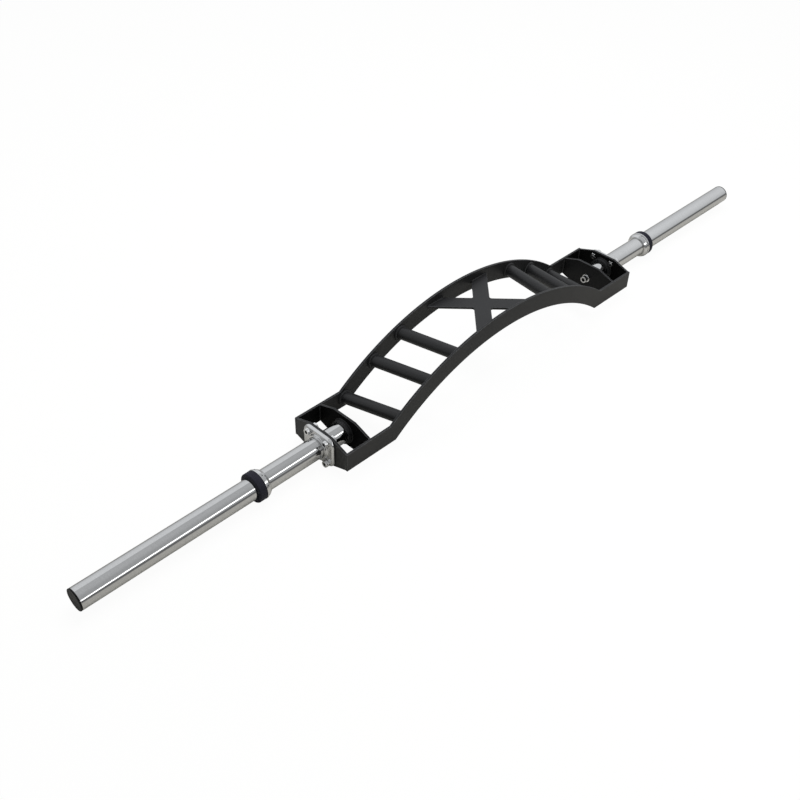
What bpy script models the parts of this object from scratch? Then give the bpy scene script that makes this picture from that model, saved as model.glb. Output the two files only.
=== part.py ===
"""Cambered multi-grip bar.

Two flat side rails stand on edge and rise in one arch. End plates close a small box at
each end, six round grips and a cross brace join the rails, and a turning sleeve runs out
of each box through a bolted flange housing.

Units are metres. +Z is up, +X runs along the bar and +Y points to its rear side. The
origin lies on the floor, below the middle of the bar. Shapes of one end are drawn for the
+X side, and the other end is the same shapes turned half round about Z.
"""

import math

import bmesh
import bpy
from mathutils import Matrix, Vector

# Overall sizes
OVERALL_LENGTH = 2.286
FRAME_WIDTH = 0.172
CLEARANCE = 0.0003

# Side rails and their arch, measured on the middle line of a rail
RAIL_HEIGHT = 0.048
RAIL_THICKNESS = 0.006
ARCH_HALF_SPAN = 0.384
ARCH_RISE = 0.130
LEVEL_END_LENGTH = 0.142
FRAME_LIFT = 0.002

# End plates and the clear length of the box between them
PLATE_THICKNESS = 0.006
BOX_LENGTH = 0.064
PLATE_EDGE_MARGIN = 0.011
PLATE_CROWN_MARGIN = 0.005

# Grips, set out from the arch's corner toward the middle of the bar
GRIP_NAMES = ("outer", "middle", "inner")
GRIP_STEPS_INWARD = (0.018, 0.094, 0.087)
GRIP_SWING = 0.014
GRIP_DIAMETER = 0.031
GRIP_WALL = 0.003

# Cross brace
BRACE_THICKNESS = 0.006
BRACE_ARM_WIDTH = 0.040
BRACE_FILLET = 0.006
BRACE_TOP_BELOW_CREST = 0.025

# Sleeve
SLEEVE_DIAMETER = 0.050
SLEEVE_WALL = 0.005
SLEEVE_CHAMFER = 0.0008
SLEEVE_END_FLOAT = 0.0005
END_CAP_THICKNESS = 0.003
END_CAP_SPIGOT = 0.012
END_CAP_CHAMFER = 0.0008
PLUG_LENGTH = 0.030

# Housing round the sleeve: bush, bosses and flange
BUSH_WALL = 0.0017
OUTER_BOSS_WALL = 0.0027
OUTER_BOSS_LENGTH = 0.0095
INNER_BOSS_WALL = 0.0017
INNER_BOSS_LENGTH = 0.0112
FLANGE_THICKNESS = 0.008
FLANGE_SIDE_MARGIN = 0.0195
FLANGE_CORNER_RADIUS = 0.020
HUB_WALL = 0.0037
HUB_LENGTH = 0.005
HUB_LIP_THICKNESS = 0.0018

# Collar and bumper on the sleeve, beyond the bare length that sits in a rack
RACK_LENGTH = 0.149
COLLAR_BACK_WALL = 0.0032
COLLAR_TAPER_LENGTH = 0.007
COLLAR_STEP_WALL = 0.0077
COLLAR_STEP_LENGTH = 0.005
COLLAR_RIM_WALL = 0.0097
COLLAR_RIM_LENGTH = 0.0035
BUMPER_WALL = 0.0092
BUMPER_LENGTH = 0.018
BUMPER_ROUNDING = 0.0025

# Flange screws and nuts
FLANGE_SCREW_DIAMETER = 0.010
FLANGE_SCREW_HEAD_DIAMETER = 0.016
FLANGE_SCREW_HEAD_HEIGHT = 0.008
FLANGE_SCREW_SOCKET = 0.008
FLANGE_SCREW_PROUD = 0.0017
FLANGE_NUT_WIDTH = 0.016
FLANGE_NUT_HEIGHT = 0.008
NUT_TO_BOSS = 0.0018

# Screw and washer that hold the sleeve's inner end
END_SCREW_DIAMETER = 0.012
END_SCREW_HEAD_DIAMETER = 0.018
END_SCREW_HEAD_HEIGHT = 0.012
END_SCREW_SOCKET = 0.010
END_SCREW_REACH = 0.020
END_SCREW_RUNNING_GAP = 0.0005
END_WASHER_DIAMETER = 0.023
END_WASHER_THICKNESS = 0.0025

# Depth of a screw's socket as a share of its head's height
SOCKET_DEPTH_SHARE = 0.5

# Fineness of round shapes, and the distance within which points are one point
ROUND_STEPS = 36
GRIP_STEPS = 24
SCREW_STEPS = 16
HEX_STEPS = 6
ARCH_STEPS = 36
CORNER_STEPS = 6
ROUNDING_STEPS = 3
SHARP_ANGLE = math.radians(30)
MERGE_DISTANCE = 0.00001

# Radii and places that follow from the sizes above
SLEEVE_RADIUS = SLEEVE_DIAMETER / 2
SLEEVE_BORE_RADIUS = SLEEVE_RADIUS - SLEEVE_WALL
SLEEVE_HOLE_RADIUS = SLEEVE_RADIUS + CLEARANCE
BUSH_RADIUS = SLEEVE_HOLE_RADIUS + BUSH_WALL
HOUSING_BORE_RADIUS = BUSH_RADIUS + CLEARANCE
OUTER_BOSS_RADIUS = HOUSING_BORE_RADIUS + OUTER_BOSS_WALL
INNER_BOSS_RADIUS = HOUSING_BORE_RADIUS + INNER_BOSS_WALL
HUB_RADIUS = HOUSING_BORE_RADIUS + HUB_WALL
NUT_CORNER_RADIUS = FLANGE_NUT_WIDTH / math.sqrt(3)
BOLT_OFFSET = (OUTER_BOSS_RADIUS + NUT_TO_BOSS + NUT_CORNER_RADIUS) / math.sqrt(2)
PLATE_HALF_HEIGHT = BOLT_OFFSET + PLATE_EDGE_MARGIN
PLATE_CROWN_HALF_WIDTH = BOLT_OFFSET + PLATE_CROWN_MARGIN
FRAME_HEIGHT = PLATE_HALF_HEIGHT
AXIS_HEIGHT = FRAME_HEIGHT - FRAME_LIFT
INNER_HALF_WIDTH = FRAME_WIDTH / 2 - RAIL_THICKNESS
CROSS_HALF_WIDTH = INNER_HALF_WIDTH - CLEARANCE
ARCH_RADIUS = (ARCH_HALF_SPAN**2 + ARCH_RISE**2) / (2 * ARCH_RISE)
ARCH_CENTRE_Z = FRAME_HEIGHT + ARCH_RISE - ARCH_RADIUS
OUTER_PLATE_X = ARCH_HALF_SPAN + LEVEL_END_LENGTH
OUTER_PLATE_BACK_X = OUTER_PLATE_X - PLATE_THICKNESS
INNER_PLATE_X = OUTER_PLATE_BACK_X - BOX_LENGTH
INNER_PLATE_BACK_X = INNER_PLATE_X - PLATE_THICKNESS
FLANGE_BACK_X = OUTER_PLATE_X + CLEARANCE
FLANGE_FRONT_X = FLANGE_BACK_X + FLANGE_THICKNESS
HUB_FRONT_X = FLANGE_FRONT_X + HUB_LENGTH
HUB_LIP_X = HUB_FRONT_X - HUB_LIP_THICKNESS
COLLAR_BACK_X = HUB_FRONT_X + RACK_LENGTH
COLLAR_STEP_X = COLLAR_BACK_X + COLLAR_TAPER_LENGTH
COLLAR_RIM_X = COLLAR_STEP_X + COLLAR_STEP_LENGTH
BUMPER_BACK_X = COLLAR_RIM_X + COLLAR_RIM_LENGTH + CLEARANCE
BUMPER_FACE_X = BUMPER_BACK_X + BUMPER_LENGTH
SLEEVE_INNER_X = INNER_PLATE_X + SLEEVE_END_FLOAT
CAP_BACK_X = OVERALL_LENGTH / 2 - END_CAP_THICKNESS


def clear_scene():
    """Start from an empty scene."""
    for obj in list(bpy.data.objects):
        bpy.data.objects.remove(obj)


def make_material(name, colour, roughness, metallic):
    """A plain finish with one colour, one roughness and one metallic value."""
    material = bpy.data.materials.new(name)
    material.use_nodes = True
    shader = material.node_tree.nodes["Principled BSDF"]
    shader.inputs["Base Color"].default_value = (*colour, 1.0)
    shader.inputs["Roughness"].default_value = roughness
    shader.inputs["Metallic"].default_value = metallic
    return material


def smooth(mesh):
    """Shade a mesh smooth between its sharp edges."""
    mesh.shade_smooth()
    mesh.set_sharp_from_angle(angle=SHARP_ANGLE)
    return mesh


def finish_mesh(name, shape):
    """Turn an edited shape into a mesh whose faces point outward."""
    bmesh.ops.recalc_face_normals(shape, faces=shape.faces)
    mesh = bpy.data.meshes.new(name)
    shape.to_mesh(mesh)
    shape.free()
    return smooth(mesh)


def turned_mesh(name, profile, steps=ROUND_STEPS):
    """Turn a profile of (x, radius) points about the X axis.

    A profile that starts on the axis also ends there and makes a solid. Any other profile
    closes on itself and makes a ring.
    """
    shape = bmesh.new()
    points = [shape.verts.new((x, radius, 0)) for x, radius in profile]
    edges = [shape.edges.new(pair) for pair in zip(points, points[1:])]
    if profile[0][1] > 0:
        edges.append(shape.edges.new((points[-1], points[0])))
    full_turn = {"cent": (0, 0, 0), "axis": (1, 0, 0), "angle": 2 * math.pi}
    bmesh.ops.spin(shape, geom=points + edges, steps=steps, **full_turn)
    bmesh.ops.remove_doubles(shape, verts=shape.verts, dist=MERGE_DISTANCE)
    return finish_mesh(name, shape)


def rod_mesh(name, start_x, end_x, radius, steps=ROUND_STEPS):
    """A plain round rod along X, or a hexagonal one if it has six steps."""
    return turned_mesh(name, [(start_x, 0), (start_x, radius), (end_x, radius), (end_x, 0)], steps)


def ring_mesh(name, start_x, end_x, bore_radius, radius, steps=ROUND_STEPS):
    """A plain ring or tube along X."""
    profile = [(start_x, bore_radius), (start_x, radius), (end_x, radius), (end_x, bore_radius)]
    return turned_mesh(name, profile, steps)


def prism_mesh(name, outline, depth):
    """Push a flat outline along the vector depth."""
    shape = bmesh.new()
    face = shape.faces.new([shape.verts.new(point) for point in outline])
    pushed = bmesh.ops.extrude_face_region(shape, geom=[face], use_keep_orig=True)["geom"]
    corners = [item for item in pushed if isinstance(item, bmesh.types.BMVert)]
    bmesh.ops.translate(shape, verts=corners, vec=depth)
    return finish_mesh(name, shape)


def combine(mesh, others, operation):
    """Apply one Boolean operation to the mesh with each of the other meshes."""
    scene = bpy.context.scene
    body = bpy.data.objects.new("body", mesh)
    scene.collection.objects.link(body)
    helpers = [bpy.data.objects.new("cutter", other) for other in others]
    for helper in helpers:
        scene.collection.objects.link(helper)
        helper.hide_render = True
        helper.display_type = "WIRE"
        step = body.modifiers.new(operation, "BOOLEAN")
        step.operation = operation
        step.object = helper
    graph = bpy.context.evaluated_depsgraph_get()
    result = bpy.data.meshes.new_from_object(body.evaluated_get(graph))
    for obj in [body, *helpers]:
        bpy.data.objects.remove(obj)
    return smooth(result)


def bore_mesh(start_x, end_x, radius, steps=ROUND_STEPS, y=0.0, z=0.0):
    """A round cutter along X that reaches past both faces of what it cuts."""
    overshoot = end_x - start_x
    cutter = rod_mesh("bore", start_x - overshoot, end_x + overshoot, radius, steps)
    cutter.transform(Matrix.Translation((0, y, z)))
    return cutter


def socket_mesh(face_x, into, width, head_height):
    """A hexagonal cutter that leaves a blind socket in a screw head's face."""
    depth = SOCKET_DEPTH_SHARE * head_height
    ends = sorted((face_x - into * depth, face_x + into * depth))
    return rod_mesh("socket", *ends, width / math.sqrt(3), HEX_STEPS)


def bolt_places():
    """The four bolt positions round the sleeve, as (y, z) from its axis."""
    return [(y, z) for z in (BOLT_OFFSET, -BOLT_OFFSET) for y in (-BOLT_OFFSET, BOLT_OFFSET)]


def bolt_hole_meshes(start_x, end_x):
    """Cutters for the clearance holes of the flange screws."""
    radius = FLANGE_SCREW_DIAMETER / 2 + CLEARANCE
    return [bore_mesh(start_x, end_x, radius, SCREW_STEPS, y, z) for y, z in bolt_places()]


def add_object(name, mesh, material, parent=None, location=(0, 0, 0)):
    """Place a mesh in the scene as a named piece."""
    obj = bpy.data.objects.new(name, mesh)
    obj.location = location
    obj.parent = parent
    if not mesh.materials:
        mesh.materials.append(material)
    bpy.context.scene.collection.objects.link(obj)


def add_axis(name, turn):
    """An empty on the sleeves' common axis, whose own +X points out of the bar on its side."""
    empty = bpy.data.objects.new(name, None)
    empty.location = (0, 0, AXIS_HEIGHT)
    empty.rotation_euler = (0, 0, turn)
    bpy.context.scene.collection.objects.link(empty)
    return empty


def corner_x(offset):
    """Where the arch meets a rail's level end, on the line at this offset from the middle line."""
    rise = FRAME_HEIGHT + offset - ARCH_CENTRE_Z
    return math.sqrt((ARCH_RADIUS + offset) ** 2 - rise**2)


def middle_line_z(x):
    """Height of a rail's middle line."""
    if abs(x) >= ARCH_HALF_SPAN:
        return FRAME_HEIGHT
    return ARCH_CENTRE_Z + math.sqrt(ARCH_RADIUS**2 - x**2)


def rail_edge(offset):
    """Points (x, z) along one long edge of a rail, from its -X end to its +X end."""
    radius = ARCH_RADIUS + offset
    sweep = math.asin(corner_x(offset) / radius)
    angles = [sweep * (2 * i / ARCH_STEPS - 1) for i in range(ARCH_STEPS + 1)]
    arch = [(radius * math.sin(a), ARCH_CENTRE_Z + radius * math.cos(a)) for a in angles]
    level = FRAME_HEIGHT + offset
    return [(-OUTER_PLATE_X, level), *arch, (OUTER_PLATE_X, level)]


def add_rails(material):
    """Two flat bars on edge, each with level ends and one arch, cut from plate."""
    outline = rail_edge(RAIL_HEIGHT / 2) + rail_edge(-RAIL_HEIGHT / 2)[::-1]
    points = [(x, -RAIL_THICKNESS / 2, z) for x, z in outline]
    rail = prism_mesh("rail", points, Vector((0, RAIL_THICKNESS, 0)))
    middle_y = INNER_HALF_WIDTH + RAIL_THICKNESS / 2
    add_object("front_rail", rail, material, location=(0, -middle_y, 0))
    add_object("rear_rail", rail, material, location=(0, middle_y, 0))


def end_plate_mesh(name, start_x, cutters):
    """A plate as high as the rails at its sides, with a raised crown and a foot to stand on."""
    side = RAIL_HEIGHT / 2
    quarter = [(PLATE_CROWN_HALF_WIDTH, PLATE_HALF_HEIGHT), (CROSS_HALF_WIDTH, side)]
    half = quarter + [(y, -z) for y, z in reversed(quarter)]
    outline = half + [(-y, z) for y, z in reversed(half)]
    points = [(start_x, y, z + FRAME_LIFT) for y, z in outline]
    plate = prism_mesh(name, points, Vector((PLATE_THICKNESS, 0, 0)))
    return combine(plate, cutters, "DIFFERENCE")


def add_end_plates(side, axis, material):
    """The outer plate holds the housing, and the inner plate holds the sleeve's end screw."""
    ends = (OUTER_PLATE_BACK_X, OUTER_PLATE_X)
    holes = [bore_mesh(*ends, HOUSING_BORE_RADIUS), *bolt_hole_meshes(*ends)]
    outer = end_plate_mesh("outer_plate", OUTER_PLATE_BACK_X, holes)
    add_object(side + "_outer_plate", outer, material, axis)
    screw_hole = END_SCREW_DIAMETER / 2 + END_SCREW_RUNNING_GAP
    hole = bore_mesh(INNER_PLATE_BACK_X, INNER_PLATE_X, screw_hole, SCREW_STEPS)
    inner = end_plate_mesh("inner_plate", INNER_PLATE_BACK_X, [hole])
    add_object(side + "_inner_plate", inner, material, axis)


def grip_mesh(name, rear, front):
    """A tube between two points on the rails, with both ends cut parallel to the rails."""
    along = front - rear
    reach = along.length
    radius = GRIP_DIAMETER / 2
    tube = ring_mesh(name, -reach, reach, radius - GRIP_WALL, radius, GRIP_STEPS)
    turn = Vector((1, 0, 0)).rotation_difference(along).to_matrix().to_4x4()
    tube.transform(Matrix.Translation((rear + front) / 2) @ turn)
    shape = bmesh.new()
    shape.from_mesh(tube)
    for y in (CROSS_HALF_WIDTH, -CROSS_HALF_WIDTH):
        everything = list(shape.verts) + list(shape.edges) + list(shape.faces)
        plane = {"plane_co": (0, y, 0), "plane_no": (0, y, 0)}
        cut = bmesh.ops.bisect_plane(shape, geom=everything, clear_outer=True, **plane)
        rims = [item for item in cut["geom_cut"] if isinstance(item, bmesh.types.BMEdge)]
        bmesh.ops.bridge_loops(shape, edges=rims)
    return finish_mesh(name, shape)


def add_grips(side, direction, material):
    """Three grips on one side, whose rear ends lie farther out than their front ends."""
    distance = ARCH_HALF_SPAN
    for name, step in zip(GRIP_NAMES, GRIP_STEPS_INWARD):
        distance -= step
        rear_x = direction * (distance + GRIP_SWING)
        front_x = direction * (distance - GRIP_SWING)
        rear = Vector((rear_x, INNER_HALF_WIDTH, middle_line_z(rear_x)))
        front = Vector((front_x, -INNER_HALF_WIDTH, middle_line_z(front_x)))
        full_name = f"{side}_{name}_grip"
        add_object(full_name, grip_mesh(full_name, rear, front), material)


def brace_notch(turn):
    """The filleted corner between two arms, on the side of the cross that faces turn."""
    reach = BRACE_ARM_WIDTH / math.sqrt(2) + BRACE_FILLET * math.sqrt(2)
    centre = Vector((reach * math.cos(turn), reach * math.sin(turn)))
    start = turn + math.radians(135)
    angles = [start + math.radians(90) * i / CORNER_STEPS for i in range(CORNER_STEPS + 1)]
    return [centre + BRACE_FILLET * Vector((math.cos(a), math.sin(a))) for a in angles]


def brace_outline():
    """The cross seen from above, clockwise from the end of its +X +Y arm."""
    rail_y = CROSS_HALF_WIDTH
    far_x = rail_y + BRACE_ARM_WIDTH / math.sqrt(2)
    near_x = rail_y - BRACE_ARM_WIDTH / math.sqrt(2)
    outline = [(far_x, rail_y), *brace_notch(0), (far_x, -rail_y)]
    outline += [(near_x, -rail_y), *brace_notch(math.radians(-90)), (-near_x, -rail_y)]
    outline += [(-far_x, -rail_y), *brace_notch(math.radians(180)), (-far_x, rail_y)]
    outline += [(-near_x, rail_y), *brace_notch(math.radians(90)), (near_x, rail_y)]
    return outline


def add_brace(material):
    """A flat cross between the rails, just below the crest of the arch."""
    crest = FRAME_HEIGHT + ARCH_RISE + RAIL_HEIGHT / 2
    bottom = crest - BRACE_TOP_BELOW_CREST - BRACE_THICKNESS
    points = [(x, y, bottom) for x, y in brace_outline()]
    brace = prism_mesh("cross_brace", points, Vector((0, 0, BRACE_THICKNESS)))
    add_object("cross_brace", brace, material)


def rounded_rectangle(half_width, half_height, radius):
    """Points (y, z) round a rectangle whose corners are arcs."""
    outline = []
    for quarter, (side_y, side_z) in enumerate([(1, 1), (-1, 1), (-1, -1), (1, -1)]):
        centre_y = side_y * (half_width - radius)
        centre_z = side_z * (half_height - radius)
        for i in range(CORNER_STEPS + 1):
            angle = math.radians(90) * (quarter + i / CORNER_STEPS)
            outline.append((centre_y + radius * math.cos(angle), centre_z + radius * math.sin(angle)))
    return outline


def flange_mesh():
    """A plate as high as the end plate, with a short hub whose lip hides the bush."""
    half_width = BOLT_OFFSET + FLANGE_SIDE_MARGIN
    outline = rounded_rectangle(half_width, PLATE_HALF_HEIGHT, FLANGE_CORNER_RADIUS)
    points = [(FLANGE_BACK_X, y, z + FRAME_LIFT) for y, z in outline]
    plate = prism_mesh("flange", points, Vector((FLANGE_THICKNESS, 0, 0)))
    hub = rod_mesh("hub", FLANGE_BACK_X + FLANGE_THICKNESS / 2, HUB_FRONT_X, HUB_RADIUS)
    ends = (FLANGE_BACK_X, HUB_FRONT_X)
    bush_seat = rod_mesh("bush_seat", FLANGE_BACK_X - FLANGE_THICKNESS, HUB_LIP_X, HOUSING_BORE_RADIUS)
    holes = [bore_mesh(*ends, SLEEVE_HOLE_RADIUS), bush_seat, *bolt_hole_meshes(*ends)]
    return combine(combine(plate, [hub], "UNION"), holes, "DIFFERENCE")


def add_housing(side, axis, frame_material, chrome, bearing):
    """The bolted flange, the two bosses inside the box and the two bushes."""
    add_object(side + "_flange", flange_mesh(), chrome, axis)
    outer_end = OUTER_PLATE_BACK_X - CLEARANCE
    outer_start = outer_end - OUTER_BOSS_LENGTH
    outer_boss = ring_mesh("outer_boss", outer_start, outer_end, HOUSING_BORE_RADIUS, OUTER_BOSS_RADIUS)
    add_object(side + "_outer_boss", outer_boss, frame_material, axis)
    inner_start = INNER_PLATE_X + CLEARANCE
    inner_end = inner_start + INNER_BOSS_LENGTH
    inner_boss = ring_mesh("inner_boss", inner_start, inner_end, HOUSING_BORE_RADIUS, INNER_BOSS_RADIUS)
    add_object(side + "_inner_boss", inner_boss, frame_material, axis)
    bush_end = HUB_LIP_X - CLEARANCE
    outer_bush = ring_mesh("outer_bush", outer_start, bush_end, SLEEVE_HOLE_RADIUS, BUSH_RADIUS)
    add_object(side + "_outer_bush", outer_bush, bearing, axis)
    inner_bush = ring_mesh("inner_bush", inner_start, inner_end, SLEEVE_HOLE_RADIUS, BUSH_RADIUS)
    add_object(side + "_inner_bush", inner_bush, bearing, axis)


def nut_start_x():
    """Where a flange nut's free face lies, inside the box."""
    return OUTER_PLATE_BACK_X - CLEARANCE - FLANGE_NUT_HEIGHT


def flange_screw_mesh():
    """A socket-head screw along X, from its tip inside the box to its head on the flange."""
    shank = FLANGE_SCREW_DIAMETER / 2
    head = FLANGE_SCREW_HEAD_DIAMETER / 2
    tip_x = nut_start_x() - FLANGE_SCREW_PROUD
    seat_x = FLANGE_FRONT_X + CLEARANCE
    face_x = seat_x + FLANGE_SCREW_HEAD_HEIGHT
    profile = [(tip_x, 0), (tip_x, shank), (seat_x, shank), (seat_x, head), (face_x, head), (face_x, 0)]
    screw = turned_mesh("flange_screw", profile, SCREW_STEPS)
    socket = socket_mesh(face_x, -1, FLANGE_SCREW_SOCKET, FLANGE_SCREW_HEAD_HEIGHT)
    return combine(screw, [socket], "DIFFERENCE")


def flange_nut_mesh():
    """A hexagonal nut with a flat side up and down, so that its corners clear the floor."""
    start_x = nut_start_x()
    end_x = start_x + FLANGE_NUT_HEIGHT
    nut = rod_mesh("flange_nut", start_x, end_x, NUT_CORNER_RADIUS, HEX_STEPS)
    hole = bore_mesh(start_x, end_x, FLANGE_SCREW_DIAMETER / 2 + CLEARANCE, SCREW_STEPS)
    return combine(nut, [hole], "DIFFERENCE")


def add_flange_fasteners(side, axis, steel):
    """Four screws through the flange and the outer plate, each with its nut."""
    screw = flange_screw_mesh()
    nut = flange_nut_mesh()
    for number, (y, z) in enumerate(bolt_places(), 1):
        add_object(f"{side}_flange_screw_{number}", screw, steel, axis, (0, y, z))
        add_object(f"{side}_flange_nut_{number}", nut, steel, axis, (0, y, z))


def sleeve_tube_mesh():
    """One tube from the inner plate to the end cap."""
    end_x = CAP_BACK_X - CLEARANCE
    profile = [(SLEEVE_INNER_X, SLEEVE_BORE_RADIUS), (SLEEVE_INNER_X, SLEEVE_RADIUS)]
    profile += [(end_x - SLEEVE_CHAMFER, SLEEVE_RADIUS), (end_x, SLEEVE_RADIUS - SLEEVE_CHAMFER)]
    profile += [(end_x, SLEEVE_BORE_RADIUS)]
    return turned_mesh("sleeve_tube", profile)


def sleeve_plug_mesh():
    """The block inside the sleeve's inner end that the end screw is driven into."""
    bore = END_SCREW_DIAMETER / 2 + CLEARANCE
    end_x = SLEEVE_INNER_X + PLUG_LENGTH
    return ring_mesh("sleeve_plug", SLEEVE_INNER_X, end_x, bore, SLEEVE_BORE_RADIUS - CLEARANCE)


def end_cap_mesh():
    """A cap over the sleeve's outer end, with a spigot in its bore."""
    spigot = SLEEVE_BORE_RADIUS - CLEARANCE
    spigot_x = CAP_BACK_X - END_CAP_SPIGOT
    face_x = CAP_BACK_X + END_CAP_THICKNESS
    profile = [(spigot_x, 0), (spigot_x, spigot), (CAP_BACK_X, spigot), (CAP_BACK_X, SLEEVE_RADIUS)]
    profile += [(face_x - END_CAP_CHAMFER, SLEEVE_RADIUS), (face_x, SLEEVE_RADIUS - END_CAP_CHAMFER)]
    return turned_mesh("end_cap", [*profile, (face_x, 0)])


def collar_mesh():
    """The metal collar: a taper, a narrow step, then a rim that backs the bumper."""
    back = SLEEVE_HOLE_RADIUS + COLLAR_BACK_WALL
    step = SLEEVE_HOLE_RADIUS + COLLAR_STEP_WALL
    rim = SLEEVE_HOLE_RADIUS + COLLAR_RIM_WALL
    end_x = COLLAR_RIM_X + COLLAR_RIM_LENGTH
    profile = [(COLLAR_BACK_X, SLEEVE_HOLE_RADIUS), (COLLAR_BACK_X, back), (COLLAR_STEP_X, step)]
    profile += [(COLLAR_RIM_X, step), (COLLAR_RIM_X, rim), (end_x, rim), (end_x, SLEEVE_HOLE_RADIUS)]
    return turned_mesh("collar", profile)


def bumper_mesh():
    """The rubber ring that plates rest against, rounded toward the plates."""
    radius = SLEEVE_HOLE_RADIUS + BUMPER_WALL
    profile = [(BUMPER_BACK_X, SLEEVE_HOLE_RADIUS), (BUMPER_BACK_X, radius)]
    for i in range(ROUNDING_STEPS + 1):
        angle = math.radians(90) * i / ROUNDING_STEPS
        x = BUMPER_FACE_X - BUMPER_ROUNDING * (1 - math.sin(angle))
        profile.append((x, radius - BUMPER_ROUNDING * (1 - math.cos(angle))))
    profile.append((BUMPER_FACE_X, SLEEVE_HOLE_RADIUS))
    return turned_mesh("bumper_ring", profile)


def end_washer_ends():
    """Where the end washer's two faces lie, against the inner plate's inner side."""
    end_x = INNER_PLATE_BACK_X - CLEARANCE
    return end_x - END_WASHER_THICKNESS, end_x


def end_screw_mesh():
    """The socket-head screw through the inner plate into the sleeve's plug."""
    shank = END_SCREW_DIAMETER / 2
    head = END_SCREW_HEAD_DIAMETER / 2
    seat_x = end_washer_ends()[0] - CLEARANCE
    face_x = seat_x - END_SCREW_HEAD_HEIGHT
    tip_x = SLEEVE_INNER_X + END_SCREW_REACH
    profile = [(face_x, 0), (face_x, head), (seat_x, head), (seat_x, shank), (tip_x, shank), (tip_x, 0)]
    screw = turned_mesh("end_screw", profile, SCREW_STEPS)
    socket = socket_mesh(face_x, 1, END_SCREW_SOCKET, END_SCREW_HEAD_HEIGHT)
    return combine(screw, [socket], "DIFFERENCE")


def add_sleeve(side, axis, chrome, steel, rubber, plastic):
    """The pieces that turn together about the sleeve's axis."""
    add_object(side + "_sleeve_tube", sleeve_tube_mesh(), chrome, axis)
    add_object(side + "_sleeve_plug", sleeve_plug_mesh(), steel, axis)
    add_object(side + "_end_cap", end_cap_mesh(), plastic, axis)
    add_object(side + "_collar", collar_mesh(), chrome, axis)
    add_object(side + "_bumper_ring", bumper_mesh(), rubber, axis)
    add_object(side + "_end_screw", end_screw_mesh(), steel, axis)
    bore = END_SCREW_DIAMETER / 2 + CLEARANCE
    washer = ring_mesh("washer", *end_washer_ends(), bore, END_WASHER_DIAMETER / 2, SCREW_STEPS)
    add_object(side + "_end_washer", washer, steel, axis)


def build():
    """Make every piece of the bar."""
    clear_scene()
    black = make_material("black_coating", (0.022, 0.022, 0.022), 0.45, 0.0)
    chrome = make_material("chrome", (0.72, 0.72, 0.73), 0.15, 1.0)
    steel = make_material("zinc_plated_steel", (0.55, 0.55, 0.56), 0.3, 1.0)
    bearing = make_material("bearing_plastic", (0.02, 0.02, 0.023), 0.35, 0.0)
    rubber = make_material("rubber", (0.025, 0.025, 0.028), 0.7, 0.0)
    plastic = make_material("black_plastic", (0.028, 0.027, 0.026), 0.5, 0.0)
    add_rails(black)
    add_brace(black)
    for side, direction, turn in (("right", 1, 0.0), ("left", -1, math.pi)):
        axis = add_axis(side + "_sleeve_axis", turn)
        add_end_plates(side, axis, black)
        add_grips(side, direction, black)
        add_housing(side, axis, black, chrome, bearing)
        add_flange_fasteners(side, axis, steel)
        add_sleeve(side, axis, chrome, steel, rubber, plastic)


build()
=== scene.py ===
# %% [markdown]
# # A cambered bar, piece by piece
#
# This bar is a strength training tool. Two flat steel rails rise in one arch, six round
# grips and a flat cross join them, and a chromed sleeve turns in a small box at each end.
# The solid model of it is already packed, with every piece in its real place. This lesson
# gives the pieces their looks: finer meshes, weld beads, and finishes made of nodes.
#
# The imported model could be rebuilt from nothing, but then the new pieces might not meet
# the joints they turn on. So it is loaded first, and everything is measured from it.

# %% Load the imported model
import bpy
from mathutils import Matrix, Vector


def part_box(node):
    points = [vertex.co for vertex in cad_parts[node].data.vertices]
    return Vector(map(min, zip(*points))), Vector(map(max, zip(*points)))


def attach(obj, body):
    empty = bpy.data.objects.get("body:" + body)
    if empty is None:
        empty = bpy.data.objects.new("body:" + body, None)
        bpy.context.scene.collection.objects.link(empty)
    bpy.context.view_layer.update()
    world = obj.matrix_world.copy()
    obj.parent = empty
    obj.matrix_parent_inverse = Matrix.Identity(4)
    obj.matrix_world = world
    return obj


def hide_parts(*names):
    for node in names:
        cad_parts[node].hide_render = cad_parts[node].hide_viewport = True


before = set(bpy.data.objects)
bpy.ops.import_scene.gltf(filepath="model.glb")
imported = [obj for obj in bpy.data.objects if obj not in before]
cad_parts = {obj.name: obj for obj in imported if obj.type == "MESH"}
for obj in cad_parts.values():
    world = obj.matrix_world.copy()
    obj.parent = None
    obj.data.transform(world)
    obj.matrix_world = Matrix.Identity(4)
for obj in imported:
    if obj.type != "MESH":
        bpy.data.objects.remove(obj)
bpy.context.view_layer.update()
print("pieces in the packed model:", len(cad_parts))

# %% The tools that this lesson needs
import math
import random

import bmesh
import bpy
from mathutils import Matrix, Vector

scene = bpy.context.scene
scene.view_settings.view_transform = "Standard"
SIDES = {"right": 0.0, "left": math.pi}


# %% [markdown]
# ## The camera
#
# The photograph was taken from the front left, looking down at the whole bar. A camera can
# be aimed by dragging it until things line up, or worked out from points whose real places
# are known. It was worked out here: the eye's place, the three turns and the focal length
# in pixels all come from matching the bar's straight edges.

# %% Place the camera
PHOTO_SIZE = 800
FOCAL_PIXELS = 1003.155
SENSOR_WIDTH = 36.0
FARTHEST_SEEN = 50
EYE = Vector((-1.58302, -1.2454, 1.550448))
YAW, PITCH, ROLL = (math.radians(angle) for angle in (43.626, -40.245, 1.78))

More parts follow.
